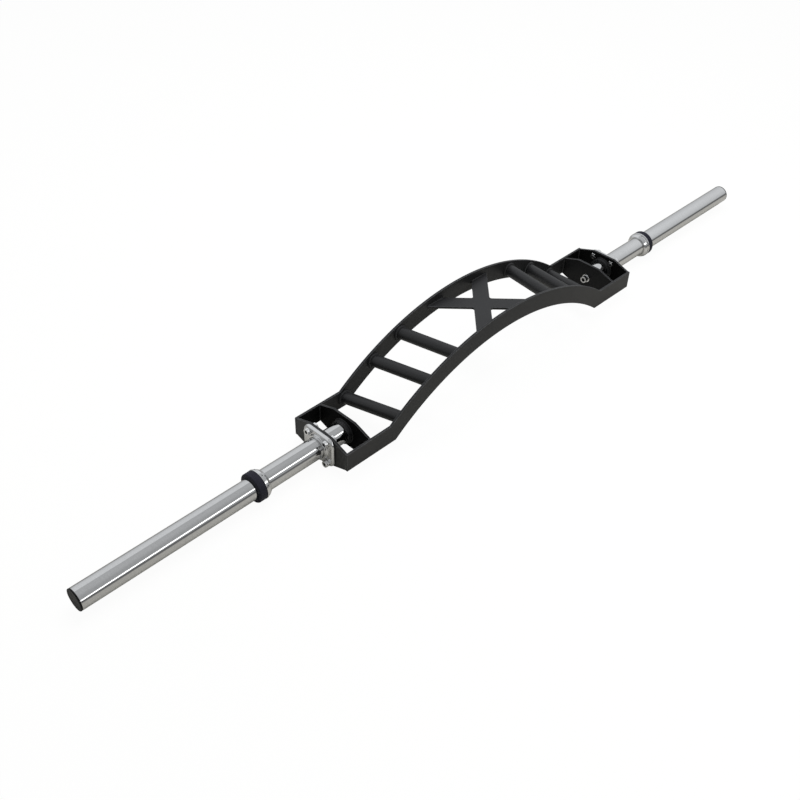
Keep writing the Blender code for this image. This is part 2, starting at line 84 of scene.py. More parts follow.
forward = Vector((math.cos(PITCH) * math.cos(YAW), math.cos(PITCH) * math.sin(YAW), math.sin(PITCH)))
level = Vector((math.sin(YAW), -math.cos(YAW), 0))
upright = level.cross(forward)
across = math.cos(ROLL) * level + math.sin(ROLL) * upright
upward = math.cos(ROLL) * upright - math.sin(ROLL) * level
camera = bpy.data.objects.new("camera", bpy.data.cameras.new("camera"))
camera.matrix_world = Matrix.Translation(EYE) @ Matrix((across, upward, -forward)).transposed().to_4x4()
camera.data.sensor_width = SENSOR_WIDTH
camera.data.lens = SENSOR_WIDTH * FOCAL_PIXELS / PHOTO_SIZE
camera.data.clip_end = FARTHEST_SEEN
scene.collection.objects.link(camera)
scene.camera = camera
print("lens in mm:", round(camera.data.lens, 2))


# %% [markdown]
# ## Node trees written as sums
#
# A finish is a recipe of nodes. Wiring them one by one hides what they work out, so two
# small classes do the wiring. A Value wraps a socket, and Python's own operators add Math
# nodes to it. A Recipe owns a node tree, and its one method adds any other node.

# %% Values that add up
class Value:
    """A socket that Python's operators work on."""

    def __init__(self, socket):
        self.socket = socket

    def math(self, operation, first, second):
        node = self.socket.node.id_data.nodes.new("ShaderNodeMath")
        node.operation = operation
        for place, value in enumerate((first, second)):
            feed(value, node.inputs[place])
        return Value(node.outputs[0])

    def __add__(self, other):
        return self.math("ADD", self, other)

    def __sub__(self, other):
        return self.math("SUBTRACT", self, other)

    def __rsub__(self, other):
        return self.math("SUBTRACT", other, self)

    def __mul__(self, other):
        return self.math("MULTIPLY", self, other)

    __radd__ = __add__
    __rmul__ = __mul__

    def most(self, other):
        return self.math("MAXIMUM", self, other)

    def out(self, name):
        return Value(self.socket.node.outputs[name])


def feed(value, socket):
    """Links a Value to a socket, or sets the socket to a plain number or colour."""
    if isinstance(value, Value):
        socket.node.id_data.links.new(value.socket, socket)
    else:
        socket.default_value = value


# %% Recipes that add nodes
class Recipe:
    """A node tree, and one method that adds any node to it."""

    def __init__(self, owner):
        owner.use_nodes = True
        self.tree = owner.node_tree
        self.tree.nodes.clear()

    def add(self, kind, settings=(), sockets=()):
        node = self.tree.nodes.new("ShaderNode" + kind)
        for name, value in dict(settings).items():
            setattr(node, name, value)
        for name, value in dict(sockets).items():
            feed(value, next(s for s in node.inputs if s.name == name and s.enabled))
        return Value(next((s for s in node.outputs if s.enabled), None))

    def step(self, value, low, high, start=0.0, end=1.0):
        """A soft step of the value, from start at low to end at high."""
        ends = {"From Min": low, "From Max": high, "To Min": start, "To Max": end}
        return self.add("MapRange", {"interpolation_type": "SMOOTHSTEP"}, {"Value": value, **ends})

    def blend(self, mask, first, second):
        """The first colour where the mask is 0, and the second where it is 1."""
        colours = {"Factor": mask, "A": first, "B": second}
        return self.add("Mix", {"data_type": "RGBA"}, colours)

    def mix_shaders(self, mask, first, second):
        """The first shader where the mask is 0, and the second where it is 1."""
        mixed = self.add("MixShader", sockets={"Fac": mask})
        slots = [s for s in mixed.socket.node.inputs if s.name == "Shader"]
        feed(first, slots[0])
        feed(second, slots[1])
        return mixed


def grey(level, warmth=0.0):
    """A grey, a little red for a warmth above 0 and a little blue for one below it."""
    return (level * (1 + warmth), level, level * (1 - warmth), 1.0)


# %% [markdown]
# ## The studio
#
# The real bar was photographed in a white studio. Its chrome shows the room: a bright wall
# behind, a dimmer ceiling, one slanted strip light and the dark line where the floor ends.
# A picture of a studio could be wrapped round the scene, but no image is used here. The
# world works its brightness out from the direction instead. The camera itself sees plain
# white, and so do glass and metal in part.

# %% The world round the bar
WHITE = grey(1.0)
ROOM_COLOUR = grey(1.0, -0.025)
HORIZON_BLUR = 0.1
WALL_SLOPE = 2.3
WALL_BLUR = 0.12
WALL_TOP = 0.65
WALL_LEVELS = (0.66, 0.90)
CEILING_LEVELS = (0.43, 0.58)
SIDE_WALL_FADE = (0.66, 0.76)
SIDE_WALL_FOOT = 0.56
SIDE_WALL_RISE = 0.60
FRONT_EDGE_FADE = (0.08, 0.20)
FRONT_EDGE_DARKNESS = 0.78
MIRRORED_SHARE = 0.10
SOFTER_FOR_MATT = 0.55

world = bpy.data.worlds.new("studio")
scene.world = world
recipe = Recipe(world)
direction = recipe.add("SeparateXYZ", sockets={"Vector": recipe.add("TexCoord").out("Generated")})
to_right, to_back, to_top = (direction.out(axis) for axis in "XYZ")
wall = recipe.step(WALL_SLOPE * to_back - to_top, -WALL_BLUR, WALL_BLUR)
side_wall = recipe.step(to_right, *SIDE_WALL_FADE)
ceiling_level = recipe.step(to_top, WALL_TOP, 1.0, *CEILING_LEVELS)
wall_level = recipe.step(to_top, -HORIZON_BLUR, WALL_TOP, *WALL_LEVELS)
back_level = ceiling_level + (wall_level - ceiling_level) * wall
side_level = SIDE_WALL_FOOT + SIDE_WALL_RISE * to_top
room_level = back_level + (side_level - back_level) * side_wall
front_edge = recipe.step(to_top, *FRONT_EDGE_FADE, FRONT_EDGE_DARKNESS, 0.0)
front_edge = front_edge * recipe.step(to_back, -HORIZON_BLUR, HORIZON_BLUR, 1.0, 0.0)
rays = recipe.add("LightPath")
studio_level = room_level * (1 - front_edge) * (1 - SOFTER_FOR_MATT * rays.out("Is Diffuse Ray"))
mirrored = MIRRORED_SHARE * (rays.out("Is Glossy Ray") + rays.out("Is Transmission Ray"))
plain_share = rays.out("Is Camera Ray") + mirrored
studio_shade = recipe.add("Background", sockets={"Color": ROOM_COLOUR, "Strength": studio_level})
white_shade = recipe.add("Background", sockets={"Color": WHITE, "Strength": 1.0})
seen = recipe.mix_shaders(plain_share, studio_shade, white_shade)
recipe.add("OutputWorld", sockets={"Surface": seen})
print("nodes in the world:", len(recipe.tree.nodes))


# %% [markdown]
# ## The floor
#
# The photograph is cut out on white, so its floor is white too, and only a soft shadow
# says that the bar stands on it. A white floor that is merely well lit would throw light
# back up and wash out the black steel. So the camera sees mostly a white glow, with a share
# of the real, shaded floor under it, which keeps the shadow. Metal mirrors a painted paper
# instead: a warmer one, with a painted shade behind the bar and a painted dark band in front
# of it, so the chrome shows painted reflections.

# %% Lay the floor
FLOOR_HALF_SIZE = 8.0
FLOOR_DROP = 0.0002
GLOW_SHARE = 0.905
GLOW_STRENGTH = 1.05
FLOOR_MIRRORED = 0.08
PAPER_CLOUDS = {"Scale": 1.3, "Detail": 2.0}
PAPER_DARK = (0.66, 0.665, 0.60, 1.0)
PAPER_PALE = (0.72, 0.725, 0.66, 1.0)
# What metal mirrors is painted: a warmer paper, a painted shade behind the bar and a painted dark band in
# front of it.
PAPER_IN_METAL = (0.70, 0.685, 0.595, 1.0)
BEHIND_REFLECTED_SHADE = (0.43, 0.43, 0.405, 1.0)
BEHIND_FADE = (0.02, 0.25)
FRONT_REFLECTED_DARK = grey(0.13)
FRONT_FADE = (-0.50, -0.12)

floor_material = bpy.data.materials.new("studio_floor")
recipe = Recipe(floor_material)
place = recipe.add("TexCoord").out("Object")
rays = recipe.add("LightPath")
in_metal = rays.out("Is Glossy Ray")
cloudy = recipe.add("TexNoise", sockets={"Vector": place, **PAPER_CLOUDS})
paper = recipe.blend(cloudy, PAPER_DARK, PAPER_PALE)
paper = recipe.blend(in_metal, paper, PAPER_IN_METAL)
to_rear = recipe.add("SeparateXYZ", sockets={"Vector": place}).out("Y")
# Only glossy rays see these painted reflections.
reflected_dark_in_front = recipe.step(to_rear, *FRONT_FADE, 1.0, 0.0) * in_metal
reflected_shade_behind = recipe.step(to_rear, *BEHIND_FADE) * in_metal
sheet = recipe.blend(reflected_dark_in_front, recipe.blend(reflected_shade_behind, paper, BEHIND_REFLECTED_SHADE), FRONT_REFLECTED_DARK)
matt = recipe.add("BsdfDiffuse", sockets={"Color": sheet})
glow = recipe.add("Emission", sockets={"Color": WHITE, "Strength": GLOW_STRENGTH})
mirrored = FLOOR_MIRRORED * (in_metal + rays.out("Is Transmission Ray"))
share = GLOW_SHARE * rays.out("Is Camera Ray") + mirrored
recipe.add("OutputMaterial", sockets={"Surface": recipe.mix_shaders(share, matt, glow)})

signs = ((-1, -1), (1, -1), (1, 1), (-1, 1))
corners = [(FLOOR_HALF_SIZE * x, FLOOR_HALF_SIZE * y, -FLOOR_DROP) for x, y in signs]
floor_mesh = bpy.data.meshes.new("floor")
floor_mesh.from_pydata(corners, [], [(0, 1, 2, 3)])
floor_mesh.materials.append(floor_material)
floor = bpy.data.objects.new("floor", floor_mesh)
scene.collection.objects.link(floor)
print("floor side in m:", 2 * FLOOR_HALF_SIZE)


# %% [markdown]
# ## The lights
#
# Two lamps do the work. A long narrow strip, slanted as the real one was, draws the bright
# line along the chrome. A big soft panel overhead lights everything else, and it is kept
# out of reflections, where the world already paints the ceiling.

# %% Hang the lamps
AXIS_Z = (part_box("right_sleeve_tube")[0].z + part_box("right_sleeve_tube")[1].z) / 2
X_AXIS, Y_AXIS, Z_AXIS = Vector((1, 0, 0)), Vector((0, 1, 0)), Vector((0, 0, 1))
STRIP_LOW_END = Vector((-0.90, -2.0, 0.20 + AXIS_Z))
STRIP_HIGH_END = Vector((1.16, -2.0, 1.99 + AXIS_Z))
STRIP_TARGET = Vector((-0.4, 0, AXIS_Z))
STRIP_WIDTH = 0.28
STRIP_POWER = 7.6
PANEL_CENTRE = Vector((0.5, 0.4, 3.1))
PANEL_SIDE = 2.6
PANEL_POWER = 65.0
PANEL_COLOUR = (0.965, 0.95, 1.04)


def hang_lamp(name, centre, along, facing, length, width, power):
    """A rectangular lamp whose long side lies along one direction and whose front faces another."""
    lamp = bpy.data.lights.new(name, "AREA")
    lamp.shape = "RECTANGLE"
    lamp.size, lamp.size_y = length, width
    lamp.energy = power
    turned_to = -facing.normalized()
    x_axis = (along - along.dot(turned_to) * turned_to).normalized()
    lamp_axes = Matrix((x_axis, turned_to.cross(x_axis), turned_to)).transposed().to_4x4()
    obj = bpy.data.objects.new(name, lamp)
    obj.matrix_world = Matrix.Translation(centre) @ lamp_axes
    scene.collection.objects.link(obj)
    return obj


strip_centre = (STRIP_LOW_END + STRIP_HIGH_END) / 2
strip_along = STRIP_HIGH_END - STRIP_LOW_END
hang_lamp("strip_lamp", strip_centre, strip_along, STRIP_TARGET - strip_centre,
          strip_along.length, STRIP_WIDTH, STRIP_POWER)
panel = hang_lamp("soft_lamp", PANEL_CENTRE, X_AXIS, -PANEL_CENTRE, PANEL_SIDE, PANEL_SIDE, PANEL_POWER)
panel.visible_glossy = False
panel.data.color = PANEL_COLOUR
print("strip length in m:", round(strip_along.length, 2))


# %% [markdown]
# ## Finishes
#
# A coating is never one flat colour. It varies a little in tone and gloss, it has a grain,
# and it thins along edges. Painted pictures could carry that, but they would have to be
# unwrapped onto every piece. Noise worked out from the object's own coordinates needs no
# unwrapping, and it stays on a piece when the piece turns. Each finish below is one recipe
# that ends in a Principled shader.

# %% What every finish starts from
FINISHES = {}
MILLIMETRE = 0.001


def start_finish(name):
    """An empty recipe for a finish, and the object's own coordinates in it."""
    material = bpy.data.materials.new(name)
    FINISHES[name] = material
    recipe = Recipe(material)
    return recipe, recipe.add("TexCoord").out("Object")


def noise(recipe, place, size, detail=2.0, roughness=0.5):
    """Cloudy noise from 0 to 1 whose spots are about this many metres across."""
    values = {"Vector": place, "Scale": 1 / size, "Detail": detail, "Roughness": roughness}
    return recipe.add("TexNoise", sockets=values)


def bump(recipe, height, depth, under=None):
    """A normal that stands for relief of this height and depth in metres."""
    sockets = {"Height": height, "Distance": depth, "Strength": 1.0}
    if under:
        sockets["Normal"] = under
    return recipe.add("Bump", sockets=sockets)


def marked(recipe, name):
    """The number that a mesh carries on its faces under this name."""
    return recipe.add("Attribute", {"attribute_name": name}).out("Fac")


def end_finish(recipe, **sockets):
    """The Principled shader that a recipe ends in, and the material's output."""
    named = {name.replace("_", " "): value for name, value in sockets.items()}
    shader = recipe.add("BsdfPrincipled", sockets=named)
    recipe.add("OutputMaterial", sockets={"Surface": shader})
    print("nodes in this finish:", len(recipe.tree.nodes))


# %% [markdown]
# ### Black powder coat
#
# The frame's steel is blasted, dusted with black powder and baked. The powder melts into a
# satin skin with a fine orange peel. It goes on thinner over edges, so they look greyer, and
# that grey also serves as a painted highlight along them. The edges are marked on the meshes
# with a number, which the recipe reads back, because nodes alone can't tell where a plate
# ends. The narrow faces of a plate are marked too and come out darker, a painted shade, most
# of all on the end plates. So are the inner faces, which get a painted shade: dull and nearly
# black, faint along the rails and strongest inside a box.

# %% Mix the powder coat
BOX_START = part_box("right_inner_plate")[0].x
BOX_FADE = 0.004
# Inner faces get a painted shade: a dull, nearly black shader, faint along the rails and strongest inside a
# box.
PAINTED_SHADE_SHARES = (0.15, 0.96)
PAINTED_SHADE_DARK = grey(0.0030)
PAINTED_SHADE_PALE = grey(0.0055)
LEAST_WORN = 0.45
# Rounded edges turn grey: partly real wear of the powder, partly a painted highlight along them.
WORN_AND_HIGHLIGHT_GREY = grey(0.110, -0.02)
SPECK_GREY = grey(0.09)
SPECK_SHARE = 0.25
# Narrow faces are painted darker toward this grey: a painted shade.
NARROW_SHADE_GREY = grey(0.004)
PEEL_DEPTH = 0.05 * MILLIMETRE


def powder_coat(name, dark, pale, smooth, rough, grain, shine):
    """A satin black skin, with greyer edges that double as a painted highlight, painted shade on narrow and
    inner faces, cloudy gloss and a grain of this size.
    """
    recipe, place = start_finish(name)
    clouds = noise(recipe, place, 60 * MILLIMETRE, 4.0, 0.6)
    rub = recipe.step(noise(recipe, place, 9 * MILLIMETRE, 3.0, 0.7), 0.42, 0.62)
    worn_and_highlight = marked(recipe, "edge") * (LEAST_WORN + (1 - LEAST_WORN) * rub)
    along = recipe.add("SeparateXYZ", sockets={"Vector": place}).out("X")
    from_middle = along.most(0 - along)
    in_box = recipe.step(from_middle, BOX_START - BOX_FADE, BOX_START + BOX_FADE, *PAINTED_SHADE_SHARES)
    skin = recipe.blend(clouds, grey(dark, -0.01), grey(pale, -0.01))
    specks = recipe.step(noise(recipe, place, 1.6 * MILLIMETRE), 0.70, 0.78)
    dust_and_narrow_shade = recipe.blend(SPECK_SHARE * specks, skin, SPECK_GREY)
    # Narrow faces get their painted shade here, over the real dust specks.
    dust_and_narrow_shade = recipe.blend(marked(recipe, "narrow"), dust_and_narrow_shade, NARROW_SHADE_GREY)
    relief = bump(recipe, noise(recipe, place, grain, 3.0, 0.6), PEEL_DEPTH)
    coat = recipe.add("BsdfPrincipled", sockets={
        "Base Color": recipe.blend(worn_and_highlight, dust_and_narrow_shade, WORN_AND_HIGHLIGHT_GREY),
        "Roughness": smooth + (rough - smooth) * clouds - 0.06 * worn_and_highlight,
        "Specular IOR Level": shine,
        "Normal": relief,
    })
    # The painted shade of the inner faces, mixed in where the mesh marks them.
    painted_shade = recipe.add("BsdfPrincipled", sockets={
        "Base Color": recipe.blend(clouds, PAINTED_SHADE_DARK, PAINTED_SHADE_PALE),
        "Roughness": 0.62 + 0.12 * clouds,
        "Specular IOR Level": 0.05,
        "Normal": relief,
    })
    painted_shade_share = marked(recipe, "inside") * in_box
    recipe.add("OutputMaterial", sockets={"Surface": recipe.mix_shaders(painted_shade_share, coat, painted_shade)})
    print("nodes in this finish:", len(recipe.tree.nodes))


powder_coat("black_coating", dark=0.0195, pale=0.0250, smooth=0.40, rough=0.52,
            grain=1.1 * MILLIMETRE, shine=0.32)
powder_coat("grip_coating", dark=0.0165, pale=0.0215, smooth=0.42, rough=0.52,
            grain=0.7 * MILLIMETRE, shine=0.36)


# %% [markdown]
# ### Chrome
#
# The sleeves are turned on a lathe, so fine rings run round them, and then they are
# polished and chromed. Across a sleeve the room stays sharp, and along it the rings smear
# and serrate every reflection. Rings could be cut in the mesh, but they are finer than a
# hair. A noise that is stretched flat across the bar has the same rings at every scale. A
# faint speckle is mixed into the tone, because a plated surface is never quite even.

# %% Mix the chromes
RING_STRETCH = (1.0, 0.02, 0.02)
FINE_SHARE = 0.4
DARK_SHARE = 0.70
PALE_SHARE = 1.28
COARSE_DEPTHS = 2.4


def chrome(name, tone, rough, ring_depth):
    """Polished metal with turning rings of this depth round the bar's axis."""
    recipe, place = start_finish(name)
    stretch = recipe.add("Mapping", sockets={"Vector": place, "Scale": RING_STRETCH})
    fine = noise(recipe, stretch, 1.1 * MILLIMETRE, 2.0, 0.6)
    coarse = noise(recipe, stretch, 3.4 * MILLIMETRE, 1.0)
    clouds = noise(recipe, place, 45 * MILLIMETRE, 3.0, 0.6)
    smudge = recipe.step(noise(recipe, place, 16 * MILLIMETRE, 4.0, 0.65), 0.55, 0.75)
    speckle = noise(recipe, place, 2.6 * MILLIMETRE, 2.0, 0.7)
    mottle = FINE_SHARE * fine + (1 - FINE_SHARE) * speckle
    dark, pale = grey(tone * DARK_SHARE, 0.006), grey(tone * PALE_SHARE, -0.004)
    rings = bump(recipe, fine, ring_depth)
    rings = bump(recipe, coarse, COARSE_DEPTHS * ring_depth, rings)
    end_finish(
        recipe,
        Base_Color=recipe.blend(mottle, dark, pale),
        Metallic=1.0,
        Roughness=rough + 0.03 * clouds + 0.04 * smudge,
        Normal=rings,
    )


chrome("sleeve_chrome", tone=0.60, rough=0.045, ring_depth=0.010 * MILLIMETRE)
chrome("flange_chrome", tone=0.65, rough=0.12, ring_depth=0.002 * MILLIMETRE)


# %% [markdown]
# ### Fasteners, bearings, rubber and plastic
#
# Screws and nuts are zinc plated and bright, with a faint mottle. Thread ends, sockets and
# the nuts' faces toward the middle of the bar are marked on the meshes and come out nearly
# black: a painted shade in the sockets, and painted dark reflections on the thread ends and
# on the nuts' faces. The bearings are a dark plastic that needs no oil. The bumper is
# moulded rubber with a dull bloom, and the end caps are moulded plastic with a fine spark
# grain.

# %% Mix the zinc
ZINC_DARK = grey(0.68, 0.01)
ZINC_PALE = grey(0.84, -0.01)
ZINC_GRAIN = 0.004 * MILLIMETRE
# Marked faces are painted nearly black: painted shade in sockets, painted dark reflections on thread tips
# and on the nuts' faces toward the middle.
PAINTED_DARK_BLACK = grey(0.012)
recipe, place = start_finish("zinc_plated_steel")
mottle = noise(recipe, place, 3 * MILLIMETRE, 3.0, 0.6)
painted_dark = marked(recipe, "painted_dark")
end_finish(
    recipe,
    Base_Color=recipe.blend(painted_dark, recipe.blend(mottle, ZINC_DARK, ZINC_PALE), PAINTED_DARK_BLACK),
    Metallic=1 - painted_dark,
    Roughness=0.05 + 0.07 * mottle + 0.4 * painted_dark,
    Normal=bump(recipe, noise(recipe, place, 0.5 * MILLIMETRE), ZINC_GRAIN),
)


# %% Mix the rubber and the plastics
def moulded(name, dark, pale, rough, shine, grain, depth):
    """A moulded black, with a bloom of a paler colour and a grain of this size and depth."""
    recipe, place = start_finish(name)
    bloom = recipe.step(noise(recipe, place, 12 * MILLIMETRE, 4.0, 0.65), 0.40, 0.72)
    end_finish(
        recipe,
        Base_Color=recipe.blend(bloom, dark, pale),
        Roughness=rough + 0.10 * bloom,
        Specular_IOR_Level=shine,
        Normal=bump(recipe, noise(recipe, place, grain, 2.0, 0.7), depth),
    )


moulded("rubber", (0.025, 0.025, 0.034, 1.0), (0.033, 0.033, 0.043, 1.0), rough=0.55, shine=0.08,
        grain=0.8 * MILLIMETRE, depth=0.04 * MILLIMETRE)
moulded("black_plastic", grey(0.005, 0.01), grey(0.008, 0.01), rough=0.46, shine=0.15,
        grain=0.5 * MILLIMETRE, depth=0.03 * MILLIMETRE)
moulded("bearing_plastic", grey(0.010, -0.12), grey(0.016, -0.12), rough=0.30, shine=0.5,
        grain=0.9 * MILLIMETRE, depth=0.01 * MILLIMETRE)


# %% [markdown]
# ## Making meshes
#
# Everything on the bar is one of three kinds: turned, cut from plate, or swept along a
# line. Each kind has its helpers. Sharp corners don't exist on real metal, and a rounded
# edge catches the light, so most edges are rounded. The shading of a rounded edge leaks
# over the flat face beside it, which the Weighted Normal modifier puts right. What both
# ends of the bar have is made for the right end and turned round for the left.

# %% Put a piece in its place
SHARP_SHADING = math.radians(50)
SHADING_WEIGHT = 60
PLACED = []


def place_piece(name, mesh, finish, body, stands_for=()):
    """Gives a mesh its finish and its body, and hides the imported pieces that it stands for."""
    obj = bpy.data.objects.new(name, mesh)
    scene.collection.objects.link(obj)
    mesh.materials.clear()
    mesh.materials.append(FINISHES[finish])
    mesh.shade_smooth()
    mesh.set_sharp_from_angle(angle=SHARP_SHADING)
    even = obj.modifiers.new("even_shading", "WEIGHTED_NORMAL")
    even.keep_sharp = True
    even.weight = SHADING_WEIGHT
    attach(obj, body)
    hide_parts(*stands_for)
    PLACED.append(obj)


def on_side(mesh, side, y=0.0, z=0.0):
    """A copy of a mesh that was made for the right end about the X axis, put on one end."""
    copy = mesh.copy()
    copy.transform(Matrix.Rotation(SIDES[side], 4, "Z") @ Matrix.Translation((0, y, z + AXIS_Z)))
    return copy


def place_both(pieces, turning=False):
    """Places pieces at both ends, on the frame or on each end's turning sleeve.

    Each is a name, a mesh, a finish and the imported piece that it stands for, or None.
    """
    for side in SIDES:
        body = side + "_sleeve" if turning else "frame"
        for name, mesh, finish, node in pieces:
            stands_for = [f"{side}_{node}"] if node else []
            place_piece(f"{side}_{name}", on_side(mesh, side), finish, body, stands_for)


def measured(node):
    """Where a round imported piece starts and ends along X, and its radius."""
    low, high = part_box(node)
    return low.x, high.x, (high.z - low.z) / 2


def to_mesh(name, shape):
    """Closes an edited shape into a mesh whose faces point outward."""
    bmesh.ops.recalc_face_normals(shape, faces=shape.faces)
    mesh = bpy.data.meshes.new(name)
    shape.to_mesh(mesh)
    shape.free()
    return mesh


# %% Turn a profile
ROUNDING_STEPS = 3


def rounded(profile, radius, steps=ROUNDING_STEPS):
    """A closed profile whose corners are rounded. Points on the axis stay as they are."""
    points = [Vector(point) for point in profile]
    result = []
    for before, point, after in zip(points[-1:] + points, points, points[1:] + points[:1]):
        back, ahead = before - point, after - point
        if point.y == 0 or min(back.length, ahead.length) == 0:
            result.append(tuple(point))
            continue
        start = point + back.normalized() * min(radius, 0.45 * back.length)
        end = point + ahead.normalized() * min(radius, 0.45 * ahead.length)
        for i in range(steps + 1):
            t = i / steps
            result.append(tuple((1 - t) ** 2 * start + 2 * t * (1 - t) * point + t**2 * end))
    return result


def turned(name, profile, steps=96, painted_dark=()):
    """Turns a profile of (x, radius) about X. A radius may be a function of the angle.

    Faces that start at the profile's points numbered in the last argument are marked, and the
    zinc finish paints them nearly black: painted shade and painted dark reflections.
    """
    shape = bmesh.new()
    mark = shape.faces.layers.float.new("painted_dark")
    rings = []
    for x, radius in profile:
        if radius == 0:
            rings.append([shape.verts.new((x, 0, 0))] * steps)
            continue
        ring = []
        for i in range(steps):
            angle = 2 * math.pi * i / steps
            r = radius(angle) if callable(radius) else radius
            ring.append(shape.verts.new((x, r * math.cos(angle), r * math.sin(angle))))
        rings.append(ring)
    solid = profile[0][1] == 0
    for number, (ring, following) in enumerate(zip(rings, rings[1:] if solid else rings[1:] + rings[:1])):
        for i in range(steps):
            j = (i + 1) % steps
            corners = dict.fromkeys((ring[i], ring[j], following[j], following[i]))
            if len(corners) > 2:
                face = shape.faces.new(corners)
                face[mark] = float(number in painted_dark)
    return to_mesh(name, shape)


def round_bar(start, end, radius):
    """The profile of a plain round bar."""
    return [(start, 0), (start, radius), (end, radius), (end, 0)]


# %% Cut a plate
SHARP_TURN = math.radians(32)
FLAT_TURN = 0.001
PLATE_EDGE = 0.0007
# How much painted shade the narrow faces of a plate get.
NARROW_SHADE_SHARE = 0.25


def nowhere(centre, normal):
    """No face of this piece lies inside a box."""
    return False


def soften_edges(shape, depth, inside, narrow):
    """Rounds the sharp edges, and marks rounded, narrow and inside faces for the finishes."""
    mark = shape.faces.layers.float.new("edge")
    inner = shape.faces.layers.float.new("inside")
    narrow_shade_mark = shape.faces.layers.float.new("narrow")
    # These marks drive painted shade: narrow faces come out darker, and inner faces nearly black.
    for face in shape.faces:
        facing = abs(face.normal.dot(depth.normalized()))
        face[narrow_shade_mark] = narrow if facing < 0.5 else 0.0
        face[inner] = float(inside(face.calc_center_median(), face.normal))
    sharp = [e for e in shape.edges if e.is_manifold and abs(e.calc_face_angle_signed()) > SHARP_TURN]
    rounding = bmesh.ops.bevel(shape, geom=sharp, offset=PLATE_EDGE, segments=2, profile=0.5,
                               affect="EDGES")
    # Rounded edges are marked for the coat's worn grey, which is also a painted highlight.
    for face in rounding["faces"]:
        face[mark] = 1.0
        face[narrow_shade_mark] = 0.0


def drill(mesh, cutters):
    """The mesh less the cutters."""
    body = bpy.data.objects.new("body", mesh)
    helpers = [bpy.data.objects.new("cutter", cutter) for cutter in cutters]
    for obj in [body, *helpers]:
        scene.collection.objects.link(obj)
    for helper in helpers:
        body.modifiers.new("hole", "BOOLEAN").object = helper
    result = bpy.data.meshes.new_from_object(body.evaluated_get(bpy.context.evaluated_depsgraph_get()))
    for obj in [body, *helpers]:
        bpy.data.objects.remove(obj)
    return result


def plate(name, outline, depth, cutters=(), inside=nowhere, narrow=NARROW_SHADE_SHARE):
    """Pushes a flat outline along depth, drills it and rounds its edges."""
    shape = bmesh.new()
    face = shape.faces.new([shape.verts.new(point) for point in outline])
    pushed = bmesh.ops.extrude_face_region(shape, geom=[face], use_keep_orig=True)["geom"]
    moved = [item for item in pushed if isinstance(item, bmesh.types.BMVert)]
    bmesh.ops.translate(shape, verts=moved, vec=depth)
    mesh = to_mesh(name, shape)
    if cutters:
        mesh = drill(mesh, cutters)
    shape = bmesh.new()
    shape.from_mesh(mesh)
    bmesh.ops.dissolve_limit(shape, angle_limit=FLAT_TURN, verts=shape.verts, edges=shape.edges)
    soften_edges(shape, depth, inside, narrow)
    return to_mesh(name, shape)


# %% Sweep rings along a line
def circle_path(centre, first, second, radius, steps=72):
    """Points of a circle in the plane of two directions."""
    angles = [2 * math.pi * i / steps for i in range(steps)]
    return [centre + radius * (math.cos(a) * first + math.sin(a) * second) for a in angles]


def straight_path(start, end, steps=16):
    """Points of a straight line."""
    return [Vector(start).lerp(Vector(end), i / steps) for i in range(steps + 1)]


def join_rings(shape, ring, following, twist=0):
    """Joins a ring of points to the next one, which may be turned by some points."""
    sides = len(ring)
    for i in range(sides):
        j = (i + 1) % sides
        far = following[(j + twist) % sides], following[(i + twist) % sides]
        shape.faces.new((ring[i], ring[j], *far))


def fill_ends(shape, rings):
    """Closes the two ends of a row of rings."""
    shape.faces.new(rings[0])
    shape.faces.new(rings[-1])


# %% [markdown]
# ## The frame
#
# Each rail is one flat bar on edge, cut from plate, with a level foot at each end. The
# packed rails have the right outline, but their arch is made of few steps and their edges
# are razor sharp. So they are cut again with a finer arch and rounded edges. The arch has
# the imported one's span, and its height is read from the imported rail.

# %% Cut the rails
ARCH_HALF_SPAN = 0.384
RAIL_HEIGHT = 0.048
ARCH_STEPS = 120
rail_low, rail_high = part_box("front_rail")
RAIL_END = rail_high.x
FRAME_Z = rail_low.z + RAIL_HEIGHT / 2
ARCH_RISE = rail_high.z - RAIL_HEIGHT / 2 - FRAME_Z
ARCH_RADIUS = (ARCH_HALF_SPAN**2 + ARCH_RISE**2) / (2 * ARCH_RISE)
ARCH_CENTRE_Z = FRAME_Z + ARCH_RISE - ARCH_RADIUS


def rail_line(offset):
    """Points (x, z) of the line that runs along a rail at this height above its middle line."""
    radius = ARCH_RADIUS + offset
    sweep = math.acos((FRAME_Z + offset - ARCH_CENTRE_Z) / radius)
    turns = [sweep * (2 * i / ARCH_STEPS - 1) for i in range(ARCH_STEPS + 1)]
    arch = [(radius * math.sin(a), ARCH_CENTRE_Z + radius * math.cos(a)) for a in turns]
    level = FRAME_Z + offset
    return [(-RAIL_END, level), *arch, (RAIL_END, level)]


rail_outline = rail_line(RAIL_HEIGHT / 2) + rail_line(-RAIL_HEIGHT / 2)[::-1]
for node in ("front_rail", "rear_rail"):
    low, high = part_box(node)
    points = [(x, low.y, z) for x, z in rail_outline]
    to_outside = math.copysign(1, low.y)
    mesh = plate(node, points, Vector((0, high.y - low.y, 0)),
                 inside=lambda centre, normal: normal.y * to_outside < -0.5)
    place_piece(node + "_steel", mesh, "black_coating", "frame", [node])
    print(node, "faces:", len(mesh.polygons))


# %% [markdown]
# The end plates close the boxes. Each has a raised crown and reaches down to the floor,
# and stands between the rails. Here they touch the rails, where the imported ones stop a
# hair short, so that no light shows through the seam.

# %% Cut the end plates
INNER_HALF_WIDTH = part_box("rear_rail")[0].y
CROWN_HALF_WIDTH = 0.034
SLEEVE_RADIUS = measured("right_sleeve_tube")[2]
BORE_RADIUS = SLEEVE_RADIUS + 0.0023
SCREW_HOLE_RADIUS = 0.0065
CUTTER_REACH = 0.01
